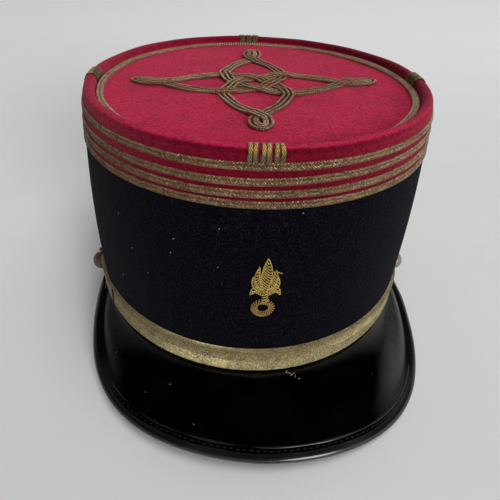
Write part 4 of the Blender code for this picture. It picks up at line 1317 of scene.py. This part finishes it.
def make_blade():
    """Patent leather blade, bending out from under the wall down to its rim, with shallow dents as
    sines. Its tone is 1 at both wings, where it is dull, and -1 in the shadow along the binding."""
    turn = np.linspace(-VISOR_WING, VISOR_WING, BLADE_STEPS)[:, None]
    base, rim = base_outline(turn), visor_outline(turn)
    share = np.concatenate([np.linspace(0, 0.28, 18), np.linspace(0.28, 1, 32)[1:]])
    x = (rim - BLADE_SHORT * math.cos(VISOR_SLOPE) - base - GAP) * share
    dent = BLADE_DENT * np.sin(turn * 6 + 0.5) * np.sin(math.pi * share) ** 2
    dent = dent + BLADE_WAVE * np.sin(turn * 17 + share * 9) * np.sin(math.pi * share)
    thick = 2 * VISOR_HALF_THICK
    tuck = [visor_space(turn, base - VISOR_TUCK, np.array([level]))
            for level in (-GAP, -GAP - thick)]
    under = blade_point(turn, x[:, ::-3], -thick, back=thick * 0.5)
    grid = np.concatenate([tuck[0], blade_point(turn, x, dent), under, tuck[1]], 1)
    aside = np.abs(turn)
    ragged = 0.10 * np.sin(share * 5 + turn * 4)
    dull = np.clip((aside - DULL_TURN - ragged) / DULL_SPAN, 0, 1)
    to_rim = (rim - BINDING_WIDE * math.cos(VISOR_SLOPE) - base - GAP) - x
    shadow = np.clip(1.8 * np.exp(-np.clip(to_rim, 0, 1) / SHADOW_WIDE), 0, 1)
    shadow = shadow * fade(aside, 0.45, 0.3)
    tone = np.zeros(grid.shape[:2])
    tone[:, 1:len(share) + 1] = dull * np.clip(share * 5, 0, 1) * (1 - shadow) - shadow
    return piece("visor_blade", [band_of(grid, 20, tone)], PATENT, ["visor"])


def make_binding():
    """Binding folded round the rim: a round bead of BINDING_HALF, a stitched groove and a ridge along
    its inner edge, which stands a little above the blade. Its tone is 1 in the groove, on the ridge
    and, but for the right, under the bead, where it has no gloss."""
    turn = np.linspace(-VISOR_WING, VISOR_WING, BINDING_STEPS)[:, None]
    room = (visor_outline(turn) - base_outline(turn) - BINDING_ROOM) / math.cos(VISOR_SLOPE)
    wide = np.minimum(BINDING_WIDE, room) / BINDING_WIDE
    bead = [(BINDING_HALF - BINDING_HALF * math.cos(t), BINDING_HALF * math.sin(t))
            for t in np.radians(np.arange(-95.0, 66.0, 14.0))]
    inward, above = np.array(bead + BINDING_SECTION).T
    grid = edge_point(turn, inward * wide, above + BINDING_WAVE * np.sin(turn * 31))
    low = fade(above, 0.0004, -0.0006) * (1 - fade(turn, 0.35, 0.3))
    groove, ridge = bell(inward - 0.0045, 0.0005), fade(inward, 0.0052, 0.0006)
    tone = np.clip(low + 0.4 * groove + 0.55 * ridge, 0, 1)
    return piece("visor_rim", [band_of(grid, 0, tone)], ROLLED, ["visor_binding"])


STITCH_INWARD = 0.0046
STITCH_PITCH = 0.0027
STITCH_LONG = 0.0020
STITCH_HALF = 0.00028
STITCH_FOOT = 0.00105
STITCH_ARCH = 0.00048


def make_stitches():
    """Black stitches in the binding's groove: short arches, sin(pi t)^0.6 high, each ending in the
    leather."""
    fine = np.linspace(-VISOR_WING * 0.965, VISOR_WING * 0.965, STITCH_STEPS)
    run = lengths(edge_point(fine, STITCH_INWARD, 0.0014))
    shapes = []
    t = np.linspace(0, 1, 7)
    for first in np.arange(0.0005, run[-1] - STITCH_PITCH, STITCH_PITCH):
        turn = np.interp(first + STITCH_LONG * t, run, fine)
        inward = STITCH_INWARD + STITCH_STRAY * math.sin(first * 900) + 0.0003 * (t - 0.5)
        above = STITCH_FOOT + STITCH_ARCH * np.sin(math.pi * t) ** 0.6
        path, up = raised(edge_point, turn, inward, above)
        shapes.append(twisted(path, up, STITCH_HALF, around=6, strands=2, lay=0.0012))
    return piece("visor_stitches", shapes, BLACK_THREAD)


# Pale scratches on the blade: degrees from the front, distance in from the rim, length and lean.
SCRATCHES = [
    {"turn": 7.0, "inward": 0.0346, "long": 0.0016, "lean": 0.9},
    {"turn": 7.6, "inward": 0.0336, "long": 0.0022, "lean": -0.3},
    {"turn": 8.4, "inward": 0.0329, "long": 0.0026, "lean": 0.5},
    {"turn": 8.9, "inward": 0.0318, "long": 0.0014, "lean": 1.3},
    {"turn": 9.7, "inward": 0.0305, "long": 0.0010, "lean": 0.2},
    {"turn": -25.0, "inward": 0.0129, "long": 0.0006, "lean": 0.4},
    {"turn": -20.0, "inward": 0.0204, "long": 0.0005, "lean": 1.0},
    {"turn": -12.8, "inward": 0.0095, "long": 0.0006, "lean": -0.6},
]
SCRATCH_HALF = 0.00010
SCRATCH_ABOVE = 0.00012
SCRATCH_REACH = 0.11


def make_scratches():
    """Pale scratches and specks on the blade: fine straight threads just proud of the leather."""
    shapes = []
    t = np.linspace(-0.5, 0.5, 7)
    for mark in SCRATCHES:
        turn = math.radians(mark["turn"]) + mark["long"] * t * math.cos(mark["lean"]) / SCRATCH_REACH
        inward = mark["inward"] + mark["long"] * t * math.sin(mark["lean"])
        x = visor_outline(turn) - base_outline(turn) - GAP - inward * math.cos(VISOR_SLOPE)
        path = blade_point(turn, x, SCRATCH_ABOVE)
        up = np.broadcast_to(np.array([0.0, -0.5, 0.87]), path.shape)
        shapes.append(twisted(path, up, SCRATCH_HALF, around=6))
    return piece("visor_scratches", shapes, LINT)


# ---------------------------------------------------------------- lint
# Specks of lint on the wall: degrees from the front, height and length.
LINT_SPECKS = [
    {"angle": -45.0, "height": 0.0288, "long": 0.0005},
    {"angle": -25.0, "height": 0.0527, "long": 0.0004},
    {"angle": -24.0, "height": 0.0590, "long": 0.0006},
    {"angle": 9.0, "height": 0.0735, "long": 0.0006},
    {"angle": -11.5, "height": 0.0668, "long": 0.0004},
]
LINT_HALF = 0.00010
FAINT_HALF = 0.00005
FAINT_FIBRES = 22


def lint_fibre(angle, height, long, lean, thick):
    """One fibre lying on the wall, curled as a parabola."""
    t = np.linspace(-0.5, 0.5, 6)
    curl = 0.6 * long * t ** 2
    turn = angle + (long * t * math.cos(lean) + curl * math.sin(lean)) / BASE_HALF_WIDTH
    rise = height + long * t * math.sin(lean) + curl * math.cos(lean)
    path, up = raised(wall_at, turn, rise, 0.0003 + 0.0002 * np.cos(t * 3))
    return twisted(path, up, thick, around=6)


def make_lint():
    """Short pale fibres caught in the navy wool: the specks that show, and a few faint ones."""
    shapes = []
    for speck in LINT_SPECKS:
        angle = FRONT + math.radians(speck["angle"])
        shapes.append(lint_fibre(angle, speck["height"], speck["long"], rng.uniform(0, 3), LINT_HALF))
    for _ in range(FAINT_FIBRES):
        angle = rng.uniform(0, 2 * math.pi)
        height = rng.uniform(0.014, 0.072)
        long = rng.uniform(0.0004, 0.0010)
        shapes.append(lint_fibre(angle, height, long, rng.uniform(0, 3), FAINT_HALF))
    return piece("lint_fibres", shapes, LINT)


# ---------------------------------------------------------------- floor, light and camera
def make_camera():
    """The view: from CAMERA_SPOT, turned about the vertical, dipped and rolled in the cap's frame."""
    lens = bpy.data.cameras.new("camera")
    lens.lens = LENS_MM
    lens.sensor_width = 36.0
    lens.clip_start = 0.005
    ahead = Vector((math.sin(CAMERA_TURN) * math.cos(CAMERA_DIP),
                    math.cos(CAMERA_TURN) * math.cos(CAMERA_DIP), -math.sin(CAMERA_DIP)))
    right = Vector((math.cos(CAMERA_TURN), -math.sin(CAMERA_TURN), 0.0))
    up = right.cross(ahead)
    cos, sin = math.cos(CAMERA_ROLL), math.sin(CAMERA_ROLL)
    right, up = cos * right + sin * up, -sin * right + cos * up
    aim = Matrix((right, up, -ahead)).transposed().to_4x4()
    camera = new_item("camera", lens)
    camera.matrix_world = REST @ Matrix.Translation(CAMERA_SPOT) @ aim
    bpy.context.scene.camera = camera


def make_floor():
    """White paper with painted light: paler towards the rear and the right, and just in front of the
    visor.
    """
    size = 3.0
    mesh = bpy.data.meshes.new("floor")
    mesh.from_pydata([(-size, -size, 0), (size, -size, 0), (size, size, 0), (-size, size, 0)], [],
                     [(0, 1, 2, 3)])
    floor = new_item("floor", mesh)
    paint, tree, shader = new_paint("floor", Roughness=0.6, Specular_IOR_Level=0.2)
    place = object_place(tree)
    across, along = add(tree, "SeparateXYZ", place).outputs[:2]
    # Painted light: paler towards the rear and the right, and, on the next line, just in front of the
    # visor.
    far = times(tree, ramp(tree, along, 0.10, 0.65), ramp(tree, across, -0.45, 0.25, 0.55, 1.0))
    far = compute(tree, "MAXIMUM", far, ramp(tree, along, -0.11, -0.20, 0.0, 0.40))
    patch = noise(tree, place, size=0.05, detail=3.0)
    colour = blend(tree, patch, (0.78, 0.78, 0.785), (0.83, 0.83, 0.83))
    fill(tree, shader, Base_Color=blend(tree, far, colour, (0.94, 0.94, 0.94)))
    mesh.materials.append(paint)


def make_light():
    """Even room light from behind and low all round, dark high above the viewer, a small bright
    window low at the front right, and a wide soft lamp overhead that gives no gloss of its own."""
    world = bpy.data.worlds.new("room")
    bpy.context.scene.world = world
    world.use_nodes = True
    tree = world.node_tree
    way = add(tree, "TexCoord").outputs["Generated"]
    axes = add(tree, "SeparateXYZ", way).outputs
    rear = times(tree, ramp(tree, axes[1], 0.10, 0.55, 0.0, REAR_GLOW),
                 ramp(tree, axes[2], 0.50, 0.80, 1.0, 0.35))
    low = ramp(tree, axes[2], 0.52, 0.24, 0.0, LOW_GLOW)
    room = times(tree, compute(tree, "MAXIMUM", rear, low), ramp(tree, axes[0], -0.8, 0.9, 0.45, 1.10))
    toward = add(tree, "VectorMath", way, WINDOW_WAY,
                 settings={"operation": "DOT_PRODUCT"}).outputs["Value"]
    window = ramp(tree, toward, 0.965, 0.990, 0.0, WINDOW_GLOW)
    fill(tree, tree.nodes["Background"], Strength=compute(tree, "ADD", room, window),
         Color=(1.0, 1.0, 1.0, 1.0))
    lamp = bpy.data.lights.new("overhead", "AREA")
    lamp.shape = "DISK"
    lamp.size = LAMP_WIDE
    lamp.energy = LAMP_POWER
    item = new_item("overhead", lamp)
    item.location = LAMP_SPOT
    item.rotation_euler = (Vector(LAMP_AIM) - Vector(LAMP_SPOT)).to_track_quat("-Z", "Y").to_euler()
    item.visible_glossy = False


def main():
    """View, floor and light, then every piece from the crown down."""
    bpy.context.scene.view_settings.view_transform = "Standard"
    make_camera()
    make_floor()
    make_light()
    make_wall_cloth()
    make_upper_cloth()
    make_top_cloth()
    for name, row in BRAIDS.items():
        make_braid_row(name, row)
    make_ring_cord()
    for side in BAR_SIDES:
        for number in (1, 2, 3):
            make_bar(side, number)
    make_knot()
    make_strap()
    make_keeper()
    for name in BUTTON_ANGLES:
        make_button(name)
    make_eyelet()
    make_badge()
    make_blade()
    make_binding()
    make_stitches()
    make_scratches()
    make_lint()


main()
